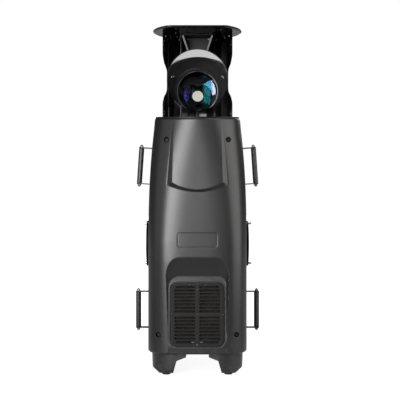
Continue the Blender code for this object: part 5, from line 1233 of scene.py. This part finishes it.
class SCANNER_OT_handles(ScannerOperator, Operator):
    """Round the handle brackets and build the grips with their dome nuts"""

    bl_idname = "scanner.handles"
    bl_label = "Side handles"

    def build(self):
        for (z, lean, x), level in zip(handle_lines(), ("lower", "upper")):
            for side, hand in ((-1, "left"), (1, "right")):
                softened(f"handle_bracket_{level}_{hand}", "powder_coat", 0.0007)
                turn = spun(-side * lean, "Y")
                self.grip(f"handle_grip_{level}_{hand}", (side * x, 0.0, z), turn)

    def grip(self, node, place, turn):
        ear = EAR_SPACING / 2
        end, start = ear - EAR_THICKNESS / 2 - 0.0003, ear + EAR_THICKNESS / 2 + 0.0003
        half = filleted([(0.0083, 0.0), (0.0083, end - 0.001), (0.0072, end), (0.003, end)], 0.0012, 4)
        grip = Form().spin(mirrored(half), 64, place, turn)
        grip.piece(f"{node}_tube", "grip_rubber", "black_grip", node)
        flat = 0.0038
        nut = np.concatenate([
            [(0.0, start), (0.0056, start), (0.0056, start + flat * 0.9), (0.0048, start + flat)],
            crown(0.0046, 0.0042, 8, start + flat)])
        washer = filleted([(0.003, start - 0.0006), (0.0066, start - 0.0006),
                           (0.0066, start + 0.0002), (0.003, start + 0.0002)], 0.0003, 2, True)
        nuts = Form()
        for way in (turn, turn @ spun(np.pi, "X")):
            nuts.spin(nut, 48, place, way, radius_of=hexagonal(1, 2))
            nuts.spin(washer, 40, place, way, closed=True)
        nuts.piece(f"{node}_nuts", "dull_zinc", "aluminium")


class SCANNER_OT_yoke_discs(ScannerOperator, Operator):
    """Build the round yoke discs with their hubs, studs and bolts"""

    bl_idname = "scanner.yoke_discs"
    bl_label = "Yoke discs"

    def build(self):
        for side, hand in ((-1, "left"), (1, "right")):
            node = f"yoke_disc_{hand}"
            low, high = node_box(node)
            radius = (high[2] - low[2]) / 2
            back, face = sorted((abs(low[0]), abs(high[0])))
            face -= 0.0115
            axis = "+X" if side > 0 else "-X"
            place = node_middle(node) * (0, 1, 1)
            profile = filleted([
                (0.0, back), (0.022, back), (0.022, face - 0.005), (radius, face - 0.005),
                (radius, face), (radius * 0.90, face), (radius * 0.885, face - 0.0006),
                (radius * 0.36, face - 0.0006), (radius * 0.345, face), (0.0195, face)], 0.0007)
            disc = Form().spin(profile, sizes().round_steps, place, axis)
            disc.piece(f"{node}_plate", "plate_black", "black_paint", node)
            hub = filleted([(0.0195, face - 0.001), (0.0190, face + 0.0025), (0.0112, face + 0.0025),
                            (0.0095, face + 0.0015), (0.008, face + 0.0015), (0.008, face - 0.022),
                            (0.0, face - 0.022)], 0.0005)
            ridge = 0.0079 - 0.0005 * (np.arange(81) % 4 > 1)
            thread = np.stack([ridge, face - np.linspace(0.0, 0.020, 81)], 1)
            fittings = Form().spin(hub, 96, place, axis).spin(thread, 48, place, axis)
            stud = filleted([(0.0, face + 0.0115), (0.0032, face + 0.0115), (0.004, face + 0.0103),
                             (0.004, face - 0.001)], 0.0005)[::-1]
            washer = filleted([(0.004, face - 0.0002), (0.0078, face - 0.0002),
                               (0.0078, face + 0.0014), (0.004, face + 0.0014)], 0.0003, 2, True)
            for across in (-0.0635, 0.0635):
                at = place + (0.0, 0.0, across)
                fittings.spin(stud, 40, at, axis).spin(washer, 40, at, axis, closed=True)
            fittings.piece(f"{node}_hub_and_studs", "bright_steel", "aluminium")
            bolts = Form()
            for turn in np.radians([45, 135, 225, 315]):
                at = (side * (face - 0.0006), place[1] + 0.044 * np.cos(turn),
                      place[2] + 0.044 * np.sin(turn))
                bolts.put(cap_screw(0.0042, 0.0022), at, axis)
            bolts.piece(f"{node}_bolts", "black_steel", "dark_bracket")


class SCANNER_OT_head_shell(ScannerOperator, Operator):
    """Build the head disc, the scooped mirror trough and the nose plate"""

    bl_idname = "scanner.head_shell"
    bl_label = "Head shell"

    def build(self):
        self.disc()
        self.trough()
        self.nose_plate()

    def disc(self):
        low, high = node_box("head_disc")
        radius, flat = (high[0] - low[0]) / 2, LENS[1] - low[1]
        bottom, top = low[2], high[2]
        profile = filleted([(0, bottom), (radius - 0.006, bottom), (radius, bottom + 0.003),
                            (radius, top), (0, top)], 0.0012, 4)
        within = np.linspace(0, radius - 0.012, 14)
        rings = np.concatenate([
            np.stack([within, np.full(14, bottom)], 1), profile[1:-1],
            np.stack([within[::-1], np.full(14, top)], 1)])
        points = turned(rings, sizes().round_steps)
        points[..., 1] = np.maximum(points[..., 1], -flat)
        Form().put(points, ON_AXIS).piece(
            "head_disc_plate", "gloss_black", "black_paint", "head_disc", sharp=30.0)
        screws = Form()
        place = (0.0022, LENS[1] - flat + 0.0002, (bottom + top) / 2)
        screws.put(pan_head_screw(0.0016, 0.0002), place, "-Y")
        for turn in np.radians(np.arange(20, 380, 40)):
            at = (0.118 * np.cos(turn), LENS[1] + max(0.118 * np.sin(turn), -0.094), top - 0.0012)
            screws.put(pan_head_screw(0.0038, 0.0012), at)
        for x, y in ((-0.0655, -0.141), (-0.067, -0.071), (-0.066, 0.0025), (0.063, -0.1236),
                     (0.072, -0.1236), (0.063, 0.020)):
            screws.put(pan_head_screw(0.0027, 0.0016), (x, y, bottom), "-Z")
        screws.piece("head_disc_screws", "dull_zinc", "aluminium")

    def plan(self, inset):
        """Plan of the trough's sheet: straight sides, then flats with an inward rib at every other
        fold, as points with their distance along the line."""
        radius, half = TROUGH_RADIUS - inset, RIB_HALF_WIDTH / TROUGH_RADIUS
        points = [(-radius, TROUGH_FRONT_Y)]
        for fold in range(TROUGH_FACETS + 1):
            turn = np.pi - fold * np.pi / TROUGH_FACETS
            places = [(turn, 0.0)]
            if 0 < fold < TROUGH_FACETS and fold % 2 == 0:
                places = [(turn + half, 0.0), (turn, RIB_DEPTH), (turn - half, 0.0)]
            for angle, sunk in places:
                reach = radius - sunk
                points.append((reach * np.cos(angle), TROUGH_ARC_Y + reach * np.sin(angle)))
        points.append((radius, TROUGH_FRONT_Y))
        return filleted(points, 0.0016)

    def scoop_y(self, z):
        """How far back the trough's side edges are cut at each height: eased ramps both ways."""
        low, high, ramp, depth = SCOOP
        near = np.minimum(z - low, high - z)
        return TROUGH_FRONT_Y + depth * (1 - np.cos(np.pi * np.clip(near / ramp, 0, 1))) / 2

    def trough(self):
        low, high = node_box("mirror_trough")
        line = self.plan(0.0)
        straight = np.linspace(TROUGH_FRONT_Y, TROUGH_ARC_Y + 0.060, 70)
        edge_x = np.interp(straight, line[: len(line) // 2, 1], line[: len(line) // 2, 0])
        left = np.stack([edge_x, straight], 1)
        middle = line[np.abs(line[:, 1]) > straight[-1]]
        plan = np.concatenate([left, middle, (left * (-1, 1))[::-1]])
        z = np.linspace(low[2], high[2], 150)
        cut = self.scoop_y(z)[:, None]
        side_x = np.interp(cut, left[:, 1], left[:, 0])
        side_x = np.where(np.arange(len(plan))[None] < len(left), side_x, -side_x)
        x = np.where(plan[None, :, 1] < cut, side_x, plan[None, :, 0])
        y = np.maximum(plan[None, :, 1], cut)
        points = np.stack([x, y + LENS[1], np.repeat(z[:, None], len(plan), 1)], -1)
        trough = Form().grid(points).piece(
            "mirror_trough_shell", "gloss_black", "black_paint", "mirror_trough", sharp=50.0)
        add_modifier(trough, "SOLIDIFY", thickness=TROUGH_WALL, offset=-1.0)
        self.flanges(low[2], high[2])

    def flanges(self, low, high):
        form, bolts = Form(), Form()
        share = np.linspace(0, 1, 160)
        outer, inner = (self.evenly(self.plan(inset), share) for inset in (0.0006, 0.010))
        for start, end in ((low, low + TROUGH_WALL), (high - TROUGH_WALL, high)):
            rings = [np.insert(path, 2, z, 1)
                     for path, z in ((outer, start), (outer, end), (inner, end), (inner, start))]
            form.grid(placed(rings, ON_AXIS), along=True, flip=True)
        form.piece("trough_flanges", "gloss_black", "black_paint")
        share = np.array([0.06, 0.18, 0.31, 0.44, 0.56, 0.69, 0.82, 0.94])
        for x, y in self.evenly(self.plan(0.0062), share):
            for z, axis in ((low + TROUGH_WALL, "+Z"), (high - TROUGH_WALL, "-Z")):
                bolts.put(cap_screw(0.0028, 0.0022), (x, y + LENS[1], z), axis)
        for side, axis in ((-1, "+X"), (1, "-X")):
            for y, z in ((0.020, 0.0165), (0.020, 0.0275), (0.034, 0.0220), (0.020, 0.249),
                         (0.034, 0.240)):
                at = (side * (TROUGH_RADIUS - TROUGH_WALL), LENS[1] + y, low + z)
                bolts.put(pan_head_screw(0.0026, 0.0016), at, axis)
        bolts.piece("trough_bolts", "dark_steel", "dark_bracket")

    def evenly(self, line, share):
        """Points at these shares of a polyline's length."""
        length = np.append(0.0, np.cumsum(np.linalg.norm(np.diff(line, axis=0), axis=1)))
        at = share * length[-1]
        return np.stack([np.interp(at, length, line[:, 0]), np.interp(at, length, line[:, 1])], 1)

    def nose_plate(self):
        """The plate's inner rings are circles round the lens, and its outer edge is the body's."""
        low, high = node_box("nose_plate")
        bottom, top = low[2], high[2]
        z = np.array(COVER_TOP_Z)
        across = np.sin(np.linspace(-np.pi / 2, np.pi / 2, 120)) * (half_width(z) - 0.002)
        front = np.stack([across, body_y(-1, across, z, 0.002)], 1)
        rear = np.stack([across[::-1], body_y(1, across[::-1], z, 0.002)], 1)
        outline = np.concatenate([front[:-1], rear[:-1]]) - (0.0, LENS[1])
        reach = np.linalg.norm(outline, axis=1, keepdims=True)
        way, rise = outline / reach, shoulder(outline[:, :1], z)
        rings = [(NOSE_SEAT, bottom), (NOSE_HOLE, bottom), (NOSE_HOLE, top - 0.0006),
                 (NOSE_HOLE + 0.0006, top), (0.0975, top), (0.0979, top - 0.0007),
                 (0.0989, top - 0.0007), (0.0993, top), (NOSE_SEAT, top)]
        rows = [np.insert(way * radius, 2, height, 1) for radius, height in rings]
        for inset, height in ((0.0006, top), (0.0001, top - 0.0002), (0.0, top - 0.0006), (0.0, bottom)):
            rows.append(np.concatenate([outline - way * inset, height + rise], 1))
        plate = Form().grid(placed(rows, ON_AXIS), around=True, along=True, flip=True)
        plate.piece("nose_plate_sheet", "plate_black", "black_paint", "nose_plate", sharp=30.0)
        bolts = Form()
        for side in (-1, 1):
            for x, y, size in ((0.0787, -0.0495, 0.0024), (0.0832, -0.0462, 0.0018)):
                bolts.put(pan_head_screw(size, 0.0015), (side * x, LENS[1] + y, top - 0.0002))
            for turn in np.radians((38, 60, 80)):
                out = np.array([side * np.cos(turn), np.sin(turn)])
                edge = np.argmin(np.linalg.norm(way - out, axis=1))
                x, y = out * between((NOSE_SEAT, reach[edge, 0]), NOSE_BOLT_SHARE)
                at = (x, LENS[1] + y, top + NOSE_BOLT_SHARE * rise[edge, 0] - 0.0004)
                bolts.put(cap_screw(0.0032, 0.0028), at)
        bolts.piece("nose_plate_bolts", "bright_steel", "aluminium")


class SCANNER_OT_pan_drive(ScannerOperator, Operator):
    """Build the folded bracket, the pan motor, its pulley and the toothed belt"""

    bl_idname = "scanner.pan_drive"
    bl_label = "Pan drive"

    def build(self):
        softened("pan_motor_bracket", "gloss_black", 0.0006)
        low, high = node_box("pan_motor")
        radius, case = (high[0] - low[0]) / 2, 0.0355
        profile = filleted([
            (0, 0), (radius * 0.55, 0), (radius * 0.55, 0.0015), (radius - 0.001, 0.0015),
            (radius, 0.0025), (radius, 0.007), (radius * 0.97, 0.0074), (radius * 0.97, 0.029),
            (radius, 0.0294), (radius, case), (0.0025, case), (0.0025, high[2] - low[2]),
            (0, high[2] - low[2])], 0.0005)
        middle_x, middle_y, _ = node_middle("pan_motor")
        motor = Form().spin(profile, 72, (middle_x, middle_y, low[2]))
        motor.piece("pan_motor_case", "dark_steel", "motor_steel", "pan_motor")
        low, high = node_box("pan_motor_pulley")
        radius, height = (high[0] - low[0]) / 2, high[2] - low[2]
        profile = filleted([(0.0028, 0), (radius, 0), (radius, 0.0006), (radius * 0.9, 0.0009),
                            (radius * 0.9, height - 0.0009), (radius, height - 0.0006),
                            (radius, height), (0.0028, height)], 0.0002, 2, True)

        def radius_of(r, angle, h):
            tooth = 0.0005 * (0.5 + 0.5 * np.tanh(3 * np.sin(20 * angle)))
            return r - np.where((h > 0.0008) & (h < height - 0.0008) & (r > 0.004), tooth, 0)

        middle_x, middle_y, _ = node_middle("pan_motor_pulley")
        teeth = Form().spin(profile, 160, (middle_x, middle_y, low[2]), closed=True,
                            radius_of=radius_of)
        teeth.piece("pan_pulley_toothed", "brushed_aluminium", "aluminium", "pan_motor_pulley")
        dressed("belt_rubber", "pan_belt")


class SCANNER_OT_mirror_arm(ScannerOperator, Operator):
    """Build the pan arm with its bare edges, the tilt motor, the holder and the mirror"""

    bl_idname = "scanner.mirror_arm"
    bl_label = "Arm and mirror"

    def build(self):
        softened("pan_arm", "powder_coat", 0.0005)
        self.edges()
        softened("mirror_holder", "powder_coat", 0.0006)
        self.motor()
        self.mirror()

    def edges(self):
        """Bare folded edges: a strip on the front of each flange, and two screws in the web."""
        taper_z, top_z = COVER_TOP_Z + 0.218, node_box("pan_motor_bracket")[0][2] - 0.0012
        along, stations = np.linspace(0, 1, 40)[:, None], (0, 0.4, 1)
        z = np.interp(along, stations, (taper_z - 0.060, taper_z, top_z))
        half = np.interp(along, stations, (0.032, 0.032, 0.0475))
        depth = np.interp(along, stations, (0.014, 0.014, 0.045))
        section = filleted([(-0.0025, 0.0012), (0.0025, 0.0012), (0.0025, -0.00015),
                            (-0.0025, -0.00015)], 0.0003, 3, True)
        form, screws = Form(), Form()
        for side in (-1, 1):
            x = side * (half - 0.0024) + section[:, 0]
            y = section[:, 1] - depth + LENS[1]
            form.grid(np.stack([x, y, np.repeat(z, len(section), 1)], -1), around=True)
        form.piece("pan_arm_bare_edges", "bare_edge", "galvanised", body="pan_head")
        for x in (-0.0300, 0.0355):
            screws.put(pan_head_screw(0.0028, 0.0015), (x, LENS[1] + 0.0195, 1.0345), "-Y")
        screws.piece("pan_arm_screws", "brass", "galvanised", body="pan_head")

    def motor(self):
        low, high = node_box("tilt_motor")
        radius, reach = (high[2] - low[2]) / 2, high[0]
        body = 0.0292
        half = filleted([(radius * 0.94, 0), (radius * 0.94, body * 0.72), (radius, body * 0.74),
                         (radius, body), (0.006, body), (0.006, body + 0.0008),
                         (0.003, body + 0.0008), (0.003, reach), (0, reach)], 0.0006)
        motor = Form().spin(mirrored(half), 72, TILT_AXIS, "+X")
        motor.piece("tilt_motor_case", "dark_steel", "motor_steel", "tilt_motor")

    def mirror(self):
        """The elliptical glass with its silvered front, in its own frame, where it faces -Z."""
        face, back = MIRROR_FACE, MIRROR_FACE + MIRROR_GLASS
        silver = ((0, 0, face), (0.5, 0, face), (0.97, 0, face), (1, 0.0003, face),
                  (1, 0.0004, face + 0.0002), (0.5, 0, face + 0.0002), (0, 0, face + 0.0002))
        plate = ((0, 0, face + 0.0001), (1, 0.0002, face + 0.0001), (1, 0, face + 0.0004),
                 (1, 0, back - 0.0003), (1, 0.0004, back), (0.5, 0, back), (0, 0, back))
        around = ring_outline(1.0, 192)[0]
        for name, material, node, profile in (
                ("mirror_glass_plate", "ground_glass", "mirror", plate),
                ("mirror_silvering", "front_silvered", None, silver)):
            rows = [np.insert(around * (np.array(MIRROR_REACH) * share - inset), 2, z, 1)
                    for share, inset, z in profile]
            glass = Form().put(rows, TILT_AXIS, spun(-np.pi / 4, "X"))
            glass.piece(name, material, "mirror_glass", node, "mirror_head", sharp=12.0)


class SCANNER_OT_optics(ScannerOperator, Operator):
    """Build the objective, its bezel, the focus carriage, the wheels and the light source"""

    bl_idname = "scanner.optics"
    bl_label = "Optics"

    def build(self):
        self.bezel()
        self.lens()
        self.carriage()
        for name in ("colour", "gobo"):
            softened(f"{name}_wheel", "anodised_black", 0.0002)
            dressed("dark_steel", f"{name}_motor")
        self.source()

    def bezel(self):
        low, high = node_box("lens_bezel")
        outer, top, bottom, bore = (high[0] - low[0]) / 2, high[2], low[2], 0.0645
        seat, above = node_box("objective_lens")[0][2], node_box("nose_plate")[1][2]
        baffles = [(bore - 0.0035, seat - 0.0004)]
        for step in range(5):
            z = seat - 0.004 - 0.0045 * step
            baffles += [(bore - 0.0035, z), (bore - 0.0055, z - 0.0008), (bore - 0.0035, z - 0.0016)]
        profile = [(0.0605, bottom), (0.068, bottom), (0.068, above + 0.0003), (outer, above + 0.0003),
                   (outer, above + 0.0022), (outer - 0.0016, above + 0.0026),
                   (outer - 0.0030, top - 0.0004), (outer - 0.0050, top), (bore + 0.0014, top),
                   (bore, top - 0.0014), (bore, seat - 0.0003), *baffles]
        profile = filleted(profile, 0.0003, 2, True)
        bezel = Form().spin(profile, sizes().round_steps, ON_AXIS, closed=True)
        bezel.piece("lens_bezel_ring", "matt_enamel", "black_paint", "lens_bezel")
        ring = filleted([(bore - 0.0001, top - 0.0004), (bore + 0.0011, top),
                         (bore + 0.0011, top - 0.0012), (bore - 0.0001, top - 0.0018)], 0.0003, 3, True)
        edge = Form().spin(ring, 160, ON_AXIS, closed=True)
        edge.piece("lens_retaining_edge", "dark_steel", "black_paint")

    def lens(self):
        """The objective: a flat back, a short edge and a crown that is part of a sphere."""
        seat, radius, dome, edge = node_box("objective_lens")[0][2], LENS_RADIUS, 0.009, 0.005
        out = np.linspace(1.0, 0.0, 40)
        sphere = (radius**2 + dome**2) / (2 * dome)
        cap = seat + edge + np.sqrt(sphere**2 - (radius * out) ** 2) - (sphere - dome)
        profile = np.concatenate([[(0, seat), (radius * 0.5, seat), (radius - 0.0004, seat),
                                   (radius, seat + 0.0004)], np.stack([radius * out, cap], 1)])
        Form().spin(profile, 128, ON_AXIS).piece(
            "objective_lens_glass", "coated_glass", "lens_glass", "objective_lens")

    def carriage(self):
        low, high = node_box("focus_carriage")
        half, place = (high[2] - low[2]) / 2, (0.0, LENS[1], (low[2] + high[2]) / 2)
        profile = filleted([(0.043, -half), (0.050, -half), (0.050, half), (0.046, half),
                            (0.0455, half - 0.002), (0.043, half - 0.0025)], 0.0006, 3, True)
        form = Form().spin(profile, 120, place, closed=True)
        outline, normals = rounded_outline(0.182, 0.024, 0.0117, 8, 24)
        section = [(0.0116, -half), (0.0008, -half), (0, 0.0008 - half), (0, half - 0.0008),
                   (0.0008, half), (0.0116, half)]
        form.put(stepped((outline + (0.0, -0.045), normals), section), place)
        form.piece("focus_carriage_ring", "anodised_black", "aluminium", "focus_carriage")
        cap = crown(0.043, 0.004, 20, 0.002, 1.0)
        lens = Form().spin(np.concatenate([(cap * (1, -1))[::-1], cap]), 96, place)
        lens.piece("focus_lens_glass", "inner_glass", "lens_glass", body="focus")
        dressed("bright_steel", "guide_rod_left", "guide_rod_right")

    def source(self):
        low, high = node_box("led_engine")
        top, foot = high[2], low[2]
        profile = filleted([(0.0198, top - 0.0005), (0.0204, top), (0.0215, top),
                            (0.030, top - 0.0095), (0.030, foot + 0.012), (0.045, foot + 0.012),
                            (0.045, foot), (0.0198, foot)][::-1], 0.0004, 3, True)
        engine = Form().spin(profile, 96, ON_AXIS, closed=True)
        engine.piece("led_engine_barrel", "anodised_black", "led_cream", "led_engine")
        dome = crown(0.0200, 0.0008, 12, top - 0.0012, 1.0)
        glow = Form().spin(np.concatenate([[(0.0200, top - 0.003)], dome]), 96, ON_AXIS)
        glow.piece("led_window", "glowing_source", "led_cream")


class SCANNER_OT_rear_panel(ScannerOperator, Operator):
    """Build the control panel with its connectors, display, buttons and power switch"""

    bl_idname = "scanner.rear_panel"
    bl_label = "Control panel"

    def build(self):
        softened("control_panel", "plate_black", 0.0003)
        softened("power_inlet", "black_plastic", 0.0005)
        softened("power_switch", "switch_plastic", 0.0007, 3)
        for number in range(1, 5):
            softened(f"menu_button_{number}", "button_rubber", 0.0005)
        self.data_sockets()
        self.pins()
        self.display()
        self.marks()

    def data_sockets(self):
        for name in ("data_in", "data_out"):
            back, face = (corner[1] for corner in node_box(name))
            (x, _, z), bore = node_middle(name), face - 0.0123
            profile = filleted([(0, back), (0.0105, back), (0.0105, face - 0.002),
                                (0.0133, face - 0.002), (0.0133, face), (0.0092, face),
                                (0.0085, face - 0.0008), (0.0085, bore), (0, bore)], 0.0005)
            socket = Form().spin(profile, 64, (x, 0, z), "+Y")
            socket.piece(f"{name}_shell", "black_plastic", "black_plastic", name)
            pins = Form()
            pin = turned(filleted([(0.0008, 0), (0.0008, 0.0082), (0, 0.0088)], 0.0003), 16)
            screw = pan_head_screw(0.0011, 0.0002)
            for shape, circle, y, degrees in ((pin, 0.0038, bore, (-90, 30, 150)),
                                              (screw, 0.0112, face - 0.0002, (45, 225))):
                for turn in np.radians(degrees):
                    pins.put(shape, (x + circle * np.cos(turn), y, z + circle * np.sin(turn)), "+Y")
            pins.piece(f"{name}_pins", "bright_steel", "aluminium")

    def pins(self):
        (x, _, z), face = node_middle("power_inlet"), node_box("power_inlet")[1][1]
        form = Form()
        blade = stepped(rounded_outline(0.002, 0.0046, 0.0008, 3, 2),
                        [(0, 0), (0, 0.0125), (0.0006, 0.0140), (0.00095, 0.0142)])[..., [0, 2, 1]]
        for dx, dz in ((-0.007, -0.001), (0.0, 0.0026), (0.007, -0.001)):
            form.grid(blade + (x + dx, face - 0.0190, z + dz), around=True, flip=True)
        for side in (-1, 1):
            form.put(pan_head_screw(0.0021, 0.0001), (x + side * 0.0258, face - 0.0001, z), "+Y")
        form.piece("power_inlet_pins", "bright_steel", "aluminium")

    def display(self):
        face = node_box("control_panel")[1][1]
        rows = stepped(rounded_outline(0.0694, 0.0234, 0.0011, 4, 4),
                       [(0, -0.0012), (0, -0.0005), (0.0004, -0.0003), (0.0116, -0.0003),
                        (0.0116, -0.0003)])[..., [0, 2, 1]]
        rows[3:, :, 0] = rows[0, :, 0] * 0.9
        rows[4, :, 2] = 0.0
        glass = Form().grid(rows + (-0.038, face, PANEL_Z + 0.024), around=True, flip=True)
        glass.piece("display_window", "display_glass", "black_paint")
        screws = Form()
        for x, z in ((-0.080, 0.045), (0.080, 0.045), (-0.080, -0.045), (0.080, -0.045)):
            screws.put(pan_head_screw(0.0026, 0.0014), (x, face - 0.0002, PANEL_Z + z), "+Y")
        screws.piece("panel_screws", "black_steel", "dark_bracket")

    def marks(self):
        """The generic on and off marks of the rocker: a bar and a ring on its two halves.

        Each lies on its half's slope, which sinks by the hollow from the rocker's end to its middle.
        """
        lean, hollow, reach, out = spun(np.radians(8), "X"), 0.0018, 0.0115, 0.0064
        x, _, z = node_middle("power_switch")
        pivot = (x, node_box("control_panel")[1][1] - 0.0015, z)
        ring = filleted([(0.0014, 0), (0.0019, 0), (0.0019, 0.0001), (0.0014, 0.0001)], 0.00003, 1, True)
        bar = stepped(rounded_outline(0.0006, 0.0042, 0.0002, 2, 2),
                      [(0, 0.0), (0, 0.0001), (0.00029, 0.0001)])
        form = Form()
        for side, points in ((-1, turned(ring, 40)), (1, bar)):
            turn = spun(side * np.arctan2(hollow, reach), "X") @ facing("+Y")
            high = 0.003 - hollow + hollow * out / reach - 0.00001
            form.put(placed(points, (0, high, side * out), turn), pivot, lean, closed=side < 0)
        form.piece("switch_marks", "pale_print", "button_grey", body="switch")


class SCANNER_OT_inner_finishes(ScannerOperator, Operator):
    """Finish the plates, rails, heat sink, fan and power supply inside the body"""

    bl_idname = "scanner.inner_finishes"
    bl_label = "Inner pieces"

    def build(self):
        dressed("zinc_sheet", "base_plate", "chassis_left_rail", "chassis_right_rail", "optics_plate",
                "power_supply")
        dressed("brushed_aluminium", "led_heat_sink")
        dressed("black_plastic", "fan_frame", "fan_impeller")


class SCANNER_OT_stage(ScannerOperator, Operator):
    """Lay the pale floor and set the softboxes, the world and the camera"""

    bl_idname = "scanner.stage"
    bl_label = "Stage"

    def build(self):
        rings = [(radius, -0.0002) for radius in (0.0, *np.geomspace(0.2, 30.0, 24))]
        floor = Form().spin(rings, 64).mesh("floor", 35.0)
        linked("floor", floor, "pale_floor")
        scene = bpy.context.scene
        scene.world = bpy.data.worlds.new("studio")
        scene.world.use_nodes = True
        nodes = Nodes(scene.world.node_tree)
        seen = (nodes.ray("Camera") + nodes.ray("Transmission")) * 0.96 + nodes.ray("Glossy") * 0.01
        nodes.end(nodes.node("ShaderNodeBackground", {}, {
            "Color": (1.0, 1.0, 1.0, 1.0), "Strength": seen + 0.05}), "World")
        for name, setting in SOFTBOXES.items():
            self.softbox(f"{name}_softbox", getattr(scene.scanner_stage, name), *setting)
        data = bpy.data.cameras.new("camera")
        data.lens, data.sensor_width, data.clip_end = CAMERA_LENS, 36.0, 60.0
        scene.camera = bpy.data.objects.new("camera", data)
        scene.camera.location = CAMERA_PLACE
        scene.camera.rotation_euler = (np.pi / 2, 0.0, 0.0)
        scene.collection.objects.link(scene.camera)
        scene.view_settings.view_transform = "Standard"

    def softbox(self, name, power, colour, size, place, target):
        data = bpy.data.lights.new(name, "AREA")
        data.shape, data.size, data.size_y, data.energy = "RECTANGLE", size[0], size[1], power
        data.color = colour
        lamp = bpy.data.objects.new(name, data)
        way = Vector(target) - Vector(place)
        lamp.rotation_euler = way.to_track_quat("-Z", "Y").to_euler()
        lamp.location = place
        bpy.context.scene.collection.objects.link(lamp)


OPERATORS = (
    SCANNER_OT_covers, SCANNER_OT_grille, SCANNER_OT_feet, SCANNER_OT_handles,
    SCANNER_OT_yoke_discs, SCANNER_OT_head_shell, SCANNER_OT_pan_drive, SCANNER_OT_mirror_arm,
    SCANNER_OT_optics, SCANNER_OT_rear_panel, SCANNER_OT_inner_finishes, SCANNER_OT_stage,
)
GROUPS = {
    "scanner_sizes": ScannerSizes, "scanner_colours": ScannerColours, "scanner_stage": ScannerStage,
}


class SCANNER_PT_panel(Panel):
    """Sizes, colours, light and the builders of the scanner light"""

    bl_idname = "SCANNER_PT_panel"
    bl_label = "Scanner light"
    bl_space_type = "VIEW_3D"
    bl_region_type = "UI"
    bl_category = "Scanner"

    def draw(self, context):
        layout = self.layout
        for title, key in zip(("Sizes", "Colours", "Stage"), GROUPS):
            box, group = layout.box(), getattr(context.scene, key)
            box.label(text=title)
            for name in group.__annotations__:
                box.prop(group, name)
        for operator in OPERATORS:
            layout.operator(operator.bl_idname)


CLASSES = (*GROUPS.values(), *OPERATORS, SCANNER_PT_panel)


def register():
    for made in CLASSES:
        bpy.utils.register_class(made)
    for key, group in GROUPS.items():
        setattr(bpy.types.Scene, key, PointerProperty(type=group))


def unregister():
    for key in GROUPS:
        delattr(bpy.types.Scene, key)
    for made in reversed(CLASSES):
        bpy.utils.unregister_class(made)


def main():
    register()
    for operator in OPERATORS:
        group, name = operator.bl_idname.split(".")
        getattr(getattr(bpy.ops, group), name)()


if __name__ == "__main__":
    main()
